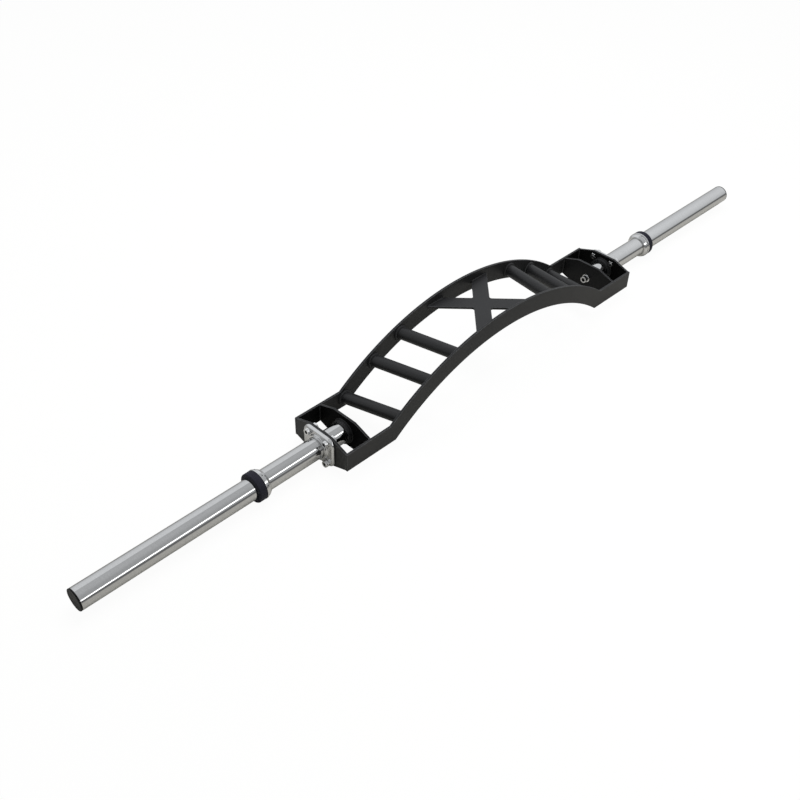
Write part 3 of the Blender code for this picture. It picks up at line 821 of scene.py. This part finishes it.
# The end plates' narrow faces get more of the painted shade.
END_NARROW_SHADE_SHARE = 0.75
OUTER_FACE_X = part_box("right_outer_plate")[1].x


def in_end_box(centre, normal):
    """The wide faces of both plates lie in the box, but for the outermost one."""
    return abs(normal.x) > 0.5 and centre.x < OUTER_FACE_X - MILLIMETRE


def end_plate(node, hole_radius):
    """One end plate, made for the right end about the sleeve's axis."""
    low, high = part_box(node)
    top_z = RAIL_HEIGHT / 2 + FRAME_Z - AXIS_Z
    foot_z = FRAME_Z - RAIL_HEIGHT / 2 - AXIS_Z
    half = [(CROWN_HALF_WIDTH, high.z - AXIS_Z), (INNER_HALF_WIDTH, top_z),
            (INNER_HALF_WIDTH, foot_z), (CROWN_HALF_WIDTH, low.z - AXIS_Z)]
    outline = half + [(-y, z) for y, z in reversed(half)]
    points = [(low.x, y, z) for y, z in outline]
    cutter = turned("cutter", round_bar(low.x - CUTTER_REACH, high.x + CUTTER_REACH, hole_radius), 72)
    return plate(node, points, Vector((high.x - low.x, 0, 0)), [cutter], in_end_box, END_NARROW_SHADE_SHARE)


for kind, hole in (("outer_plate", BORE_RADIUS), ("inner_plate", SCREW_HOLE_RADIUS)):
    mesh = end_plate("right_" + kind, hole)
    place_both([(kind + "_steel", mesh, "black_coating", kind)])
    print(kind, "faces:", len(mesh.polygons))


# %% [markdown]
# The cross brace is a flat X with rounded inner corners, just under the crest.

# %% Cut the brace
ARM_WIDTH = 0.040
HALF_ARM = ARM_WIDTH / math.sqrt(2)
INNER_CORNER = 0.006
brace_low, brace_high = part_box("cross_brace")


def brace_corner(turn, steps=8):
    """The rounded inner corner between two arms, on the side that faces turn."""
    reach = HALF_ARM + INNER_CORNER * math.sqrt(2)
    centre = Vector((reach * math.cos(turn), reach * math.sin(turn)))
    angles = [turn + math.radians(135 + 90 * i / steps) for i in range(steps + 1)]
    return [centre + INNER_CORNER * Vector((math.cos(a), math.sin(a))) for a in angles]


outline = []
for quarter, (x_sign, y_sign) in enumerate([(1, 1), (1, -1), (-1, -1), (-1, 1)]):
    ends = [(INNER_HALF_WIDTH - HALF_ARM, INNER_HALF_WIDTH), (INNER_HALF_WIDTH + HALF_ARM, INNER_HALF_WIDTH)]
    if x_sign * y_sign < 0:
        ends.reverse()
    outline += [(x_sign * x, y_sign * y) for x, y in ends]
    outline += brace_corner(math.radians(-90 * quarter))
points = [(x, y, brace_low.z) for x, y in outline]
mesh = plate("brace", points, Vector((0, 0, brace_high.z - brace_low.z)))
place_piece("cross_brace_steel", mesh, "black_coating", "frame", ["cross_brace"])
print("brace faces:", len(mesh.polygons))


# %% [markdown]
# ## The grips
#
# Six round tubes span the rails. They are set a little askew, the rear ends farther out,
# so that the hands turn naturally. Each is swept as a round bar between its two places on
# the rails and cut along them.

# %% Sweep the grips
GRIP_RADIUS = 0.0155
GRIP_SWING = 0.014
GRIP_STEPS = 64
GRIP_ROWS = 24
grip_ends = []


def middle_line_z(x):
    """Height of a rail's middle line."""
    return ARCH_CENTRE_Z + math.sqrt(ARCH_RADIUS**2 - x**2)


for side, direction in (("right", 1), ("left", -1)):
    for name in ("outer", "middle", "inner"):
        node = f"{side}_{name}_grip"
        low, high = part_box(node)
        middle = (low.x + high.x) / 2
        rear = Vector((middle + direction * GRIP_SWING, INNER_HALF_WIDTH, 0))
        front = Vector((middle - direction * GRIP_SWING, -INNER_HALF_WIDTH, 0))
        for end in (rear, front):
            end.z = middle_line_z(end.x)
        grip_ends.append((side, rear, front))
        shape = bmesh.new()
        circles = [circle_path(centre, X_AXIS, Z_AXIS, GRIP_RADIUS, GRIP_STEPS)
                   for centre in straight_path(front, rear, GRIP_ROWS)]
        rings = [[shape.verts.new(point) for point in circle] for circle in circles]
        for ring, following in zip(rings, rings[1:]):
            join_rings(shape, ring, following)
        fill_ends(shape, rings)
        place_piece(node + "_tube", to_mesh(node, shape), "grip_coating", "frame", [node])
print("grips:", len(grip_ends))


# %% [markdown]
# ## Weld beads
#
# The frame is welded by hand, and the powder goes over the beads. A bead is a row of
# overlapping ripples. Painted on as bump it would vanish at the outline, so each bead is a
# real tube of small rings along its seam, half sunk in the steel, whose radius swells and
# drops with each ripple. A seeded random wander keeps any two beads from being equal.

# %% Lay a bead
RIPPLE_PITCH = 0.0024
RIPPLE_DROP = 0.16
ROWS_PER_RIPPLE = 5
FEWEST_ROWS = 6
BEAD_SIDES = 12
SWELLS = 10
SWELL_DEPTH = 0.22
END_SHARE = 0.45
END_TAPER = 2.5
wander = random.Random(7)


def swell_at(swells, share):
    """A bead's slow wander in thickness at this share of its length, from its waves' strengths."""
    waves = [s * math.sin(2 * math.pi * (k + 1) * share + 2 * k) for k, s in enumerate(swells)]
    return sum(waves) / SWELLS


def bead(shape, path, radius, closed):
    """Adds one bead along a dense path of points to a shape."""
    lengths = [0.0]
    for first, second in zip(path, path[1:] + path[:1]):
        lengths.append(lengths[-1] + (second - first).length)
    total = lengths[-1] if closed else lengths[-2]
    rows = max(FEWEST_ROWS, int(total / RIPPLE_PITCH * ROWS_PER_RIPPLE))
    swells = [wander.uniform(-1, 1) for _ in range(SWELLS)]
    rings = []
    place = 0
    for row in range(rows if closed else rows + 1):
        distance = total * row / rows
        while lengths[place + 1] < distance:
            place += 1
        first, second = path[place], path[(place + 1) % len(path)]
        share = (distance - lengths[place]) / max(lengths[place + 1] - lengths[place], 1e-9)
        centre = first.lerp(second, share)
        along = (second - first).normalized()
        sideways = along.orthogonal().normalized()
        ripple = (distance / RIPPLE_PITCH) % 1.0
        slow = swell_at(swells, distance / total)
        size = radius * (1.0 - RIPPLE_DROP * ripple**2 + SWELL_DEPTH * slow)
        if not closed:
            nearest_end = min(distance, total - distance)
            size *= min(1.0, END_SHARE + nearest_end / (END_TAPER * radius))
        circle = circle_path(centre, sideways, along.cross(sideways), size, BEAD_SIDES)
        rings.append([shape.verts.new(point) for point in circle])
    for ring, following in zip(rings, rings[1:] + rings[:1] if closed else rings[1:]):
        twist = min(range(BEAD_SIDES), key=lambda t: (ring[0].co - following[t].co).length)
        join_rings(shape, ring, following, twist)
    if not closed:
        fill_ends(shape, rings)


# %% Weld the frame
GRIP_BEAD = 0.0042
PLATE_BEAD = 0.0030
GRIP_SEAM_OFF_RAIL = 0.0008
GRIP_SEAM_OFF_TUBE = 0.0004
BRACE_SEAM_OFF_RAIL = 0.0004
BRACE_SEAM_SHARE = 0.94
PLATE_SEAM_OFF_CORNER = 0.0003
PLATE_SEAM_HALF_HEIGHT = 0.022

for side in SIDES:
    shape = bmesh.new()
    for owner, rear, front in grip_ends:
        if owner == side:
            for end, inward in ((rear, -1), (front, 1)):
                centre = end + inward * GRIP_SEAM_OFF_RAIL * Y_AXIS
                seam = circle_path(centre, X_AXIS, Z_AXIS, GRIP_RADIUS + GRIP_SEAM_OFF_TUBE)
                bead(shape, seam, GRIP_BEAD, True)
    place_piece(side + "_grip_welds", to_mesh("grip_welds", shape), "black_coating", "frame")

shape = bmesh.new()
for x_sign in (1, -1):
    for y_sign in (1, -1):
        y = y_sign * (INNER_HALF_WIDTH - BRACE_SEAM_OFF_RAIL)
        reaches = [INNER_HALF_WIDTH + HALF_ARM * k for k in (-BRACE_SEAM_SHARE, BRACE_SEAM_SHARE)]
        ends = [(x_sign * reach, y, brace_high.z) for reach in reaches]
        bead(shape, straight_path(*ends), PLATE_BEAD, False)
place_piece("brace_welds", to_mesh("brace_welds", shape), "black_coating", "frame")

shape = bmesh.new()
seam_z = FRAME_Z - AXIS_Z - PLATE_SEAM_HALF_HEIGHT, FRAME_Z - AXIS_Z + PLATE_SEAM_HALF_HEIGHT
for node, faces in (("right_outer_plate", (0,)), ("right_inner_plate", (0, 1))):
    for face in faces:
        for y_sign in (1, -1):
            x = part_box(node)[face].x + (PLATE_SEAM_OFF_CORNER if face else -PLATE_SEAM_OFF_CORNER)
            y = y_sign * (INNER_HALF_WIDTH - PLATE_SEAM_OFF_CORNER)
            bead(shape, straight_path(*[(x, y, z) for z in seam_z]), PLATE_BEAD, False)
place_both([("plate_welds", to_mesh("plate_welds", shape), "black_coating", None)])
print("weld faces:", sum(len(o.data.polygons) for o in PLACED if "welds" in o.name))


# %% [markdown]
# ## The housing
#
# A chromed flange carries each sleeve. It is a casting: a plate with round corners and a
# short hub in one piece. A plate and a tube could be joined, but one loft gives the soft
# fillet between them. Each point of the turned profile has a radius that follows the
# angle: the plate's outline on the plate, and a plain circle on the hub.

# %% Loft the flange
PACKED_GAP = 0.0003
SCREW_HEAD = 0.008
FLANGE_CORNER = 0.020
FLANGE_EDGE = 0.0055
FLANGE_STEPS = 10
BACK_CHAMFER = 0.0009
FILLET = 0.0014
FILLET_STEPS = 4
HUB_RADIUS = 0.031
HUB_EDGE = 0.0008
HUB_START = 0.002
LIP_GAP = 0.0006
flange_low, flange_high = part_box("right_flange")
back, hub_front = flange_low.x, flange_high.x
plate_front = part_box("right_flange_screw_1")[1].x - SCREW_HEAD - PACKED_GAP


def rounded_rectangle(half_y, above, below, corner):
    """The radius of a rectangle with round corners, as a function of the angle."""
    def radius(angle):
        y, z = abs(math.cos(angle)), abs(math.sin(angle))
        half_z = above if math.sin(angle) > 0 else below
        if half_y * z <= (half_z - corner) * y:
            return half_y / y
        if half_z * y <= (half_y - corner) * z:
            return half_z / z
        along = (half_y - corner) * y + (half_z - corner) * z
        apart = (half_y - corner) ** 2 + (half_z - corner) ** 2
        return along + math.sqrt(along**2 - apart + corner**2)
    return radius


def outline_less(inset):
    """The flange's outline, drawn in by an inset."""
    above, below = flange_high.z - AXIS_Z - inset, AXIS_Z - flange_low.z - inset
    return rounded_rectangle(flange_high.y - inset, above, below, FLANGE_CORNER - inset)


def quarter_circle(radius, steps):
    """Two distances along a quarter circle: one falls from the radius to 0, one rises to it."""
    angles = [math.pi / 2 * i / steps for i in range(steps + 1)]
    return [(radius * (1 - math.sin(a)), radius * (1 - math.cos(a))) for a in angles]


profile = [(back, BORE_RADIUS), (back, outline_less(BACK_CHAMFER)), (back + BACK_CHAMFER, outline_less(0))]
for drop, inset in quarter_circle(FLANGE_EDGE, FLANGE_STEPS):
    profile.append((plate_front - drop, outline_less(inset)))
profile += [(plate_front + up, HUB_RADIUS + out) for out, up in quarter_circle(FILLET, FILLET_STEPS)]
lip_radius = SLEEVE_RADIUS + LIP_GAP
lip_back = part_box("right_outer_bush")[1].x + PACKED_GAP
hub_outline = [(plate_front + HUB_START, HUB_RADIUS), (hub_front, HUB_RADIUS), (hub_front, lip_radius)]
hub_outline += [(lip_back, lip_radius), (lip_back, BORE_RADIUS), (back, BORE_RADIUS)]
# The first and the last corner only guide the rounding of the ones between them.
corner_points = ROUNDING_STEPS + 1
profile += rounded(hub_outline, HUB_EDGE)[corner_points:-corner_points]
mesh = turned("flange", profile, 192)
place_both([("flange_casting", mesh, "flange_chrome", "flange")])
print("flange faces:", len(mesh.polygons))


# %% [markdown]
# Two bosses sit inside each box, welded round the holes in its plates, and a bearing lines
# each of them. The photograph shows them as dark stepped rings. They are turned from one
# profile each, with a shallow groove that draws the step.

# %% Turn the bosses and the bearings
GROOVE = 0.0006
GROOVE_SHARE = 0.35
BOSS_EDGE = 0.0007
BOSS_BEAD = 0.0022
BOSS_SEAM_OFF = 0.0002
BEARING_INSET = 0.0006
BEARING_EDGE = 0.0004


def ring_profile(start, end, bore, radius):
    """A plain ring's outline."""
    return [(start, bore), (start, radius), (end, radius), (end, bore)]


def grooved_ring(start, end, bore, radius, groove_x):
    """A ring with one shallow groove round it."""
    low, high = groove_x - GROOVE, groove_x + GROOVE
    groove = [(low, radius), (low, radius - GROOVE), (high, radius - GROOVE), (high, radius)]
    return [(start, bore), (start, radius), *groove, (end, radius), (end, bore)]


for kind in ("outer", "inner"):
    start, end, radius = measured(f"right_{kind}_boss")
    plate_side, free_side = (end, start) if kind == "outer" else (start, end)
    groove_x = free_side + (plate_side - free_side) * GROOVE_SHARE
    profile = grooved_ring(start, end, BORE_RADIUS, radius, groove_x)
    boss = turned(kind + "_boss", rounded(profile, BOSS_EDGE))
    bush_start, bush_end, bush_radius = measured(f"right_{kind}_bush")
    outline = ring_profile(bush_start + BEARING_INSET, bush_end - BEARING_INSET,
                           SLEEVE_RADIUS + PACKED_GAP, bush_radius)
    bush = turned(kind + "_bush", rounded(outline, BEARING_EDGE))
    shape = bmesh.new()
    seam = circle_path(Vector((plate_side, 0, 0)), Y_AXIS, Z_AXIS, radius + BOSS_SEAM_OFF)
    bead(shape, seam, BOSS_BEAD, True)
    place_both([
        (kind + "_boss_ring", boss, "black_coating", kind + "_boss"),
        (kind + "_bearing", bush, "bearing_plastic", kind + "_bush"),
        (kind + "_boss_weld", to_mesh(kind + "_boss_weld", shape), "black_coating", None),
    ])
    print(kind, "boss faces:", len(boss.polygons))


# %% [markdown]
# ## Screws and nuts
#
# Four socket-head screws hold each flange, with nuts inside the box. A hexagon is drawn by
# a turned profile too, if its radius follows the angle: the distance to a hexagon's side.
# Where that meets a cone, the nut gets the curved corners that a real one is turned with.

# %% Turn the fasteners
TIP_CHAMFER = 0.0006
TIP_DROP = 0.0002
THREAD_PITCH = 0.0015
THREAD_DEPTH = 0.0006
THREAD_START = 0.0008
THREAD_SHARE = 0.55
CREST_DROP = 0.0001
HEAD_EDGE = 0.0004
HEAD_CHAMFER = 0.0009
KNURL_TEETH = 36
KNURL_DEPTH = 0.00022
KNURL_FADE = 0.0002
KNURL_OFF_SEAT = 0.0012
KNURL_OFF_FACE = 0.0016
SOCKET_CHAMFER = 0.0005
SOCKET_DEPTH_SHARE = 0.5
DRILL_SHARE = 0.72
DRILL_EDGE = 0.0004
DRILL_DEPTH = 0.0016
FASTENER_STEPS = 144


def hexagon(width, start=0.0):
    """The radius of a hexagon of this width over its flats, as a function of the angle."""
    def radius(angle):
        turn = (angle - start + math.pi / 6) % (math.pi / 3) - math.pi / 6
        return width / 2 / math.cos(turn)
    return radius


def chamfered(shape, cone):
    """The smaller of a radius function and a cone's radius."""
    return lambda angle: min(shape(angle), cone)


def knurled(radius):
    """A round head with fine teeth."""
    return lambda angle: radius - KNURL_DEPTH * (0.5 + 0.5 * math.cos(KNURL_TEETH * angle))


def socket_screw(tip, seat, face, shank, head, socket_width):
    """A socket-head screw along X. The shank has threads near its tip."""
    ahead = 1 if face > seat else -1
    tip_radius, crest = shank - TIP_DROP, shank - CREST_DROP
    outline = [(tip, 0), (tip, tip_radius - TIP_CHAMFER), (tip + ahead * TIP_CHAMFER, tip_radius)]
    for i in range(int(abs(seat - tip) * THREAD_SHARE / THREAD_PITCH)):
        x = tip + ahead * (THREAD_START + i * THREAD_PITCH)
        outline += [(x, crest), (x + ahead * THREAD_PITCH * 0.3, crest)]
        outline.append((x + ahead * THREAD_PITCH * 0.65, crest - THREAD_DEPTH))
    outline += [(seat, shank), (seat, head - HEAD_EDGE), (seat + ahead * HEAD_EDGE, head)]
    low, high = seat + ahead * KNURL_OFF_SEAT, face - ahead * KNURL_OFF_FACE
    outline += [(low, head), (low + ahead * KNURL_FADE, knurled(head))]
    outline += [(high - ahead * KNURL_FADE, knurled(head)), (high, head)]
    for back, drop in ((1.0, 0.0), (0.3, 0.3), (0.0, 1.0)):
        outline.append((face - ahead * back * HEAD_CHAMFER, head - drop * HEAD_CHAMFER))
    socket = hexagon(socket_width, math.pi / 6)
    outline += [(face, socket_width / math.sqrt(3) + PACKED_GAP), (face - ahead * SOCKET_CHAMFER, socket)]
    socket_from = len(outline) - 1
    bottom = face - ahead * abs(face - seat) * SOCKET_DEPTH_SHARE
    drilled = hexagon(socket_width * DRILL_SHARE, math.pi / 6)
    outline += [(bottom, socket), (bottom - ahead * DRILL_EDGE, drilled), (bottom - ahead * DRILL_DEPTH, 0)]
    # The tip's end faces get a painted dark reflection, and the socket a painted shade.
    return turned("screw", outline, FASTENER_STEPS, {0, 1, *range(socket_from, len(outline))})


# %% Fasten the flanges
SHANK_RADIUS = 0.005
SOCKET_WIDTH = 0.008
NUT_BORE = 0.0051
NUT_MOUTH = 0.0007
NUT_EDGE = 0.0004
NUT_CHAMFER = 0.0006
CONE_SLOPE = 0.5
CONE_STEPS = (0.0005, 0.0010, 0.0016)

screw_low, screw_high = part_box("right_flange_screw_1")
screw = socket_screw(screw_low.x, screw_high.x - SCREW_HEAD, screw_high.x, SHANK_RADIUS, SCREW_HEAD,
                     SOCKET_WIDTH)

nut_low, nut_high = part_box("right_flange_nut_1")
nut_half = (nut_high.z - nut_low.z) / 2
flats = hexagon(2 * nut_half, math.pi / 2)
cone = nut_half - NUT_EDGE
nut_outline = [(nut_low.x, NUT_BORE + NUT_MOUTH), (nut_low.x, cone)]
nut_outline += [(nut_low.x + CONE_SLOPE * t, chamfered(flats, cone + t)) for t in CONE_STEPS]
nut_outline += [(nut_high.x - NUT_CHAMFER, flats), (nut_high.x, chamfered(flats, nut_half))]
nut_outline += [(nut_high.x, NUT_BORE), (nut_low.x + NUT_CHAMFER, NUT_BORE)]
# The nut's faces toward the middle of the bar get a painted dark reflection.
nut = turned("nut", nut_outline, FASTENER_STEPS, range(3))

screw_turns = random.Random(11)
for side in SIDES:
    for number in (1, 2, 3, 4):
        low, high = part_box(f"right_flange_screw_{number}")
        y, z = (low.y + high.y) / 2, (low.z + high.z) / 2 - AXIS_Z
        loose = screw.copy()
        loose.transform(Matrix.Rotation(screw_turns.uniform(0, math.pi / 3), 4, "X"))
        for kind, ending, mesh in (("screw", "_bolt", loose), ("nut", "_hexagon", nut)):
            node = f"{side}_flange_{kind}_{number}"
            place_piece(node + ending, on_side(mesh, side, y, z), "zinc_plated_steel", "frame", [node])
print("screw faces:", len(screw.polygons), "nut faces:", len(nut.polygons))


# %% [markdown]
# ## The sleeves
#
# Everything from here turns with the sleeve, so it rides on the sleeve's body. The tube is
# one long turned piece, whose outer end carries a moulded cap. Inside the box its end shows
# a rounded lip.

# %% Turn the tube, the plug and the cap
SLEEVE_STEPS = 128
TUBE_BORE = 0.020
TUBE_EDGE = 0.0009
CAP_BRIM = 0.003
CAP_EDGE = 0.0010
CAP_RECESS = 0.0005
RECESS_RADIUS = 0.019
RECESS_FLOOR_RADIUS = 0.0186
PLUG_BORE = 0.0063
PLUG_EDGE = 0.0008

start, end, radius = measured("right_sleeve_tube")
tube = turned("tube", rounded(ring_profile(start, end, TUBE_BORE, radius), TUBE_EDGE), SLEEVE_STEPS)
cap_start, cap_end, cap_radius = measured("right_end_cap")
cap_back, cap_neck = cap_end - CAP_BRIM, TUBE_BORE - PACKED_GAP
cap_outline = [(cap_start, 0), (cap_start, cap_neck), (cap_back, cap_neck)]
cap_outline += [(cap_back, cap_radius), (cap_end, cap_radius), (cap_end, RECESS_RADIUS)]
cap_outline += [(cap_end - CAP_RECESS, RECESS_FLOOR_RADIUS), (cap_end - CAP_RECESS, 0)]
cap = turned("cap", rounded(cap_outline, CAP_EDGE), SLEEVE_STEPS)
plug_start, plug_end, plug_radius = measured("right_sleeve_plug")
plug = turned("plug", rounded(ring_profile(plug_start, plug_end, PLUG_BORE, plug_radius), PLUG_EDGE))
place_both([
    ("sleeve_turned", tube, "sleeve_chrome", "sleeve_tube"),
    ("cap_moulding", cap, "black_plastic", "end_cap"),
    ("plug_turned", plug, "zinc_plated_steel", "sleeve_plug"),
], turning=True)
print("tube faces:", len(tube.polygons))


# %% [markdown]
# The collar stops the plates. It tapers up from the tube to a narrow step and a rim. Eight
# small set screws hold it, in a ring of holes on the step, and a rubber ring in front of
# it saves the plates. The holes are cut with a Boolean, because a ring of radial holes
# can't be turned. The ring of holes is turned a little, because a hole that lay right on
# the edge between two of the collar's facets came out with slivers. The two sleeves came to
# rest at different turns, so the holes of the two ends differ too.

# %% Make the collar and its set screws
RIM_STEP = 0.0035
STEP_LENGTH = 0.005
BACK_RADIUS = SLEEVE_RADIUS + 0.0035
STEP_RADIUS = SLEEVE_RADIUS + 0.008
COLLAR_BORE = SLEEVE_RADIUS - 0.0001
COLLAR_EDGE = 0.0006
COLLAR_TURN = {"right": math.radians(9), "left": math.radians(-20)}
SET_SCREWS = 8
SET_HOLE = 0.0017
SET_STEPS = 36
HOLE_DEPTH = 0.004
CUTTER_TOP = 0.003
OFF_EDGE = 0.013
GRUB_TOP = -0.0008
GRUB_EDGE = 0.0004
GRUB_MOUTH = 0.0012
GRUB_SOCKET_WIDTH = 0.0018
GRUB_SOCKET_TOP = -0.0010
GRUB_SOCKET_FLOOR = -0.0030
GRUB_SOCKET_END = -0.0034
back_x, front_x, rim_radius = measured("right_collar")
rim_x = front_x - RIM_STEP
step_x = rim_x - STEP_LENGTH


def set_round(outline, painted_dark=()):
    """Copies of a turned piece whose +X points out of the collar, one for each hole."""
    piece = turned("set_screw", outline, SET_STEPS, painted_dark)
    piece.transform(Matrix.Rotation(math.radians(-90), 4, "Y"))
    copies = [piece.copy() for _ in range(SET_SCREWS)]
    for i, copy in enumerate(copies):
        turn = Matrix.Rotation(OFF_EDGE + 2 * math.pi * i / SET_SCREWS, 4, "X")
        copy.transform(turn @ Matrix.Translation(((step_x + rim_x) / 2, 0, STEP_RADIUS)))
    return copies


collar_outline = [(back_x, COLLAR_BORE), (back_x, BACK_RADIUS), (step_x, STEP_RADIUS)]
collar_outline += [(rim_x, STEP_RADIUS), (rim_x, rim_radius), (front_x, rim_radius)]
collar_outline += [(front_x, COLLAR_BORE)]
collar = turned("collar", rounded(collar_outline, COLLAR_EDGE, 4), 144)
collar = drill(collar, set_round(round_bar(-HOLE_DEPTH, CUTTER_TOP, SET_HOLE)))

grub_socket = hexagon(GRUB_SOCKET_WIDTH)
grub_outline = [(-HOLE_DEPTH, 0), (-HOLE_DEPTH, SET_HOLE), (GRUB_TOP - GRUB_EDGE, SET_HOLE)]
grub_outline += [(GRUB_TOP, SET_HOLE - GRUB_EDGE), (GRUB_TOP, GRUB_MOUTH)]
socket_from = len(grub_outline)
grub_outline += [(GRUB_SOCKET_TOP, grub_socket), (GRUB_SOCKET_FLOOR, grub_socket), (GRUB_SOCKET_END, 0)]
shape = bmesh.new()
# The grub screws' sockets get a painted shade.
for grub in set_round(grub_outline, range(socket_from, len(grub_outline))):
    shape.from_mesh(grub)
grubs = to_mesh("set_screws", shape)
for side in SIDES:
    body = side + "_sleeve"
    ring, screws = collar.copy(), grubs.copy()
    for part in (ring, screws):
        part.transform(Matrix.Rotation(COLLAR_TURN[side], 4, "X"))
    place_piece(side + "_collar_ring", on_side(ring, side), "flange_chrome", body, [side + "_collar"])
    place_piece(side + "_collar_set_screws", on_side(screws, side), "zinc_plated_steel", body)
print("collar faces:", len(collar.polygons))

# %% Mould the rubber ring
RUBBER_ROUNDING = 0.0025
RUBBER_STEPS = 8
RUBBER_CHAMFER = 0.0008
BORE_CHAMFER = 0.0006
start, end, radius = measured("right_bumper_ring")
outline = [(start, COLLAR_BORE), (start, radius - RUBBER_CHAMFER), (start + RUBBER_CHAMFER, radius)]
outline += [(end - x, radius - drop) for x, drop in quarter_circle(RUBBER_ROUNDING, RUBBER_STEPS)]
outline += [(end, COLLAR_BORE + BORE_CHAMFER), (end - BORE_CHAMFER, COLLAR_BORE)]
bumper = turned("bumper", outline, SLEEVE_STEPS)
place_both([("bumper_rubber", bumper, "rubber", "bumper_ring")], turning=True)
print("bumper faces:", len(bumper.polygons))

# %% Turn the end screw and its washer
END_HEAD_LENGTH = 0.012
END_SHANK_RADIUS = 0.006
END_HEAD_RADIUS = 0.009
END_SOCKET_WIDTH = 0.010
WASHER_BORE = 0.0064
WASHER_EDGE = 0.0005
screw_low, screw_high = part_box("right_end_screw")
end_screw = socket_screw(screw_high.x, screw_low.x + END_HEAD_LENGTH, screw_low.x, END_SHANK_RADIUS,
                         END_HEAD_RADIUS, END_SOCKET_WIDTH)
start, end, radius = measured("right_end_washer")
washer = turned("washer", rounded(ring_profile(start, end, WASHER_BORE, radius), WASHER_EDGE))
place_both([
    ("end_bolt", end_screw, "zinc_plated_steel", "end_screw"),
    ("washer_ring", washer, "zinc_plated_steel", "end_washer"),
], turning=True)
print("pieces made:", len(PLACED))
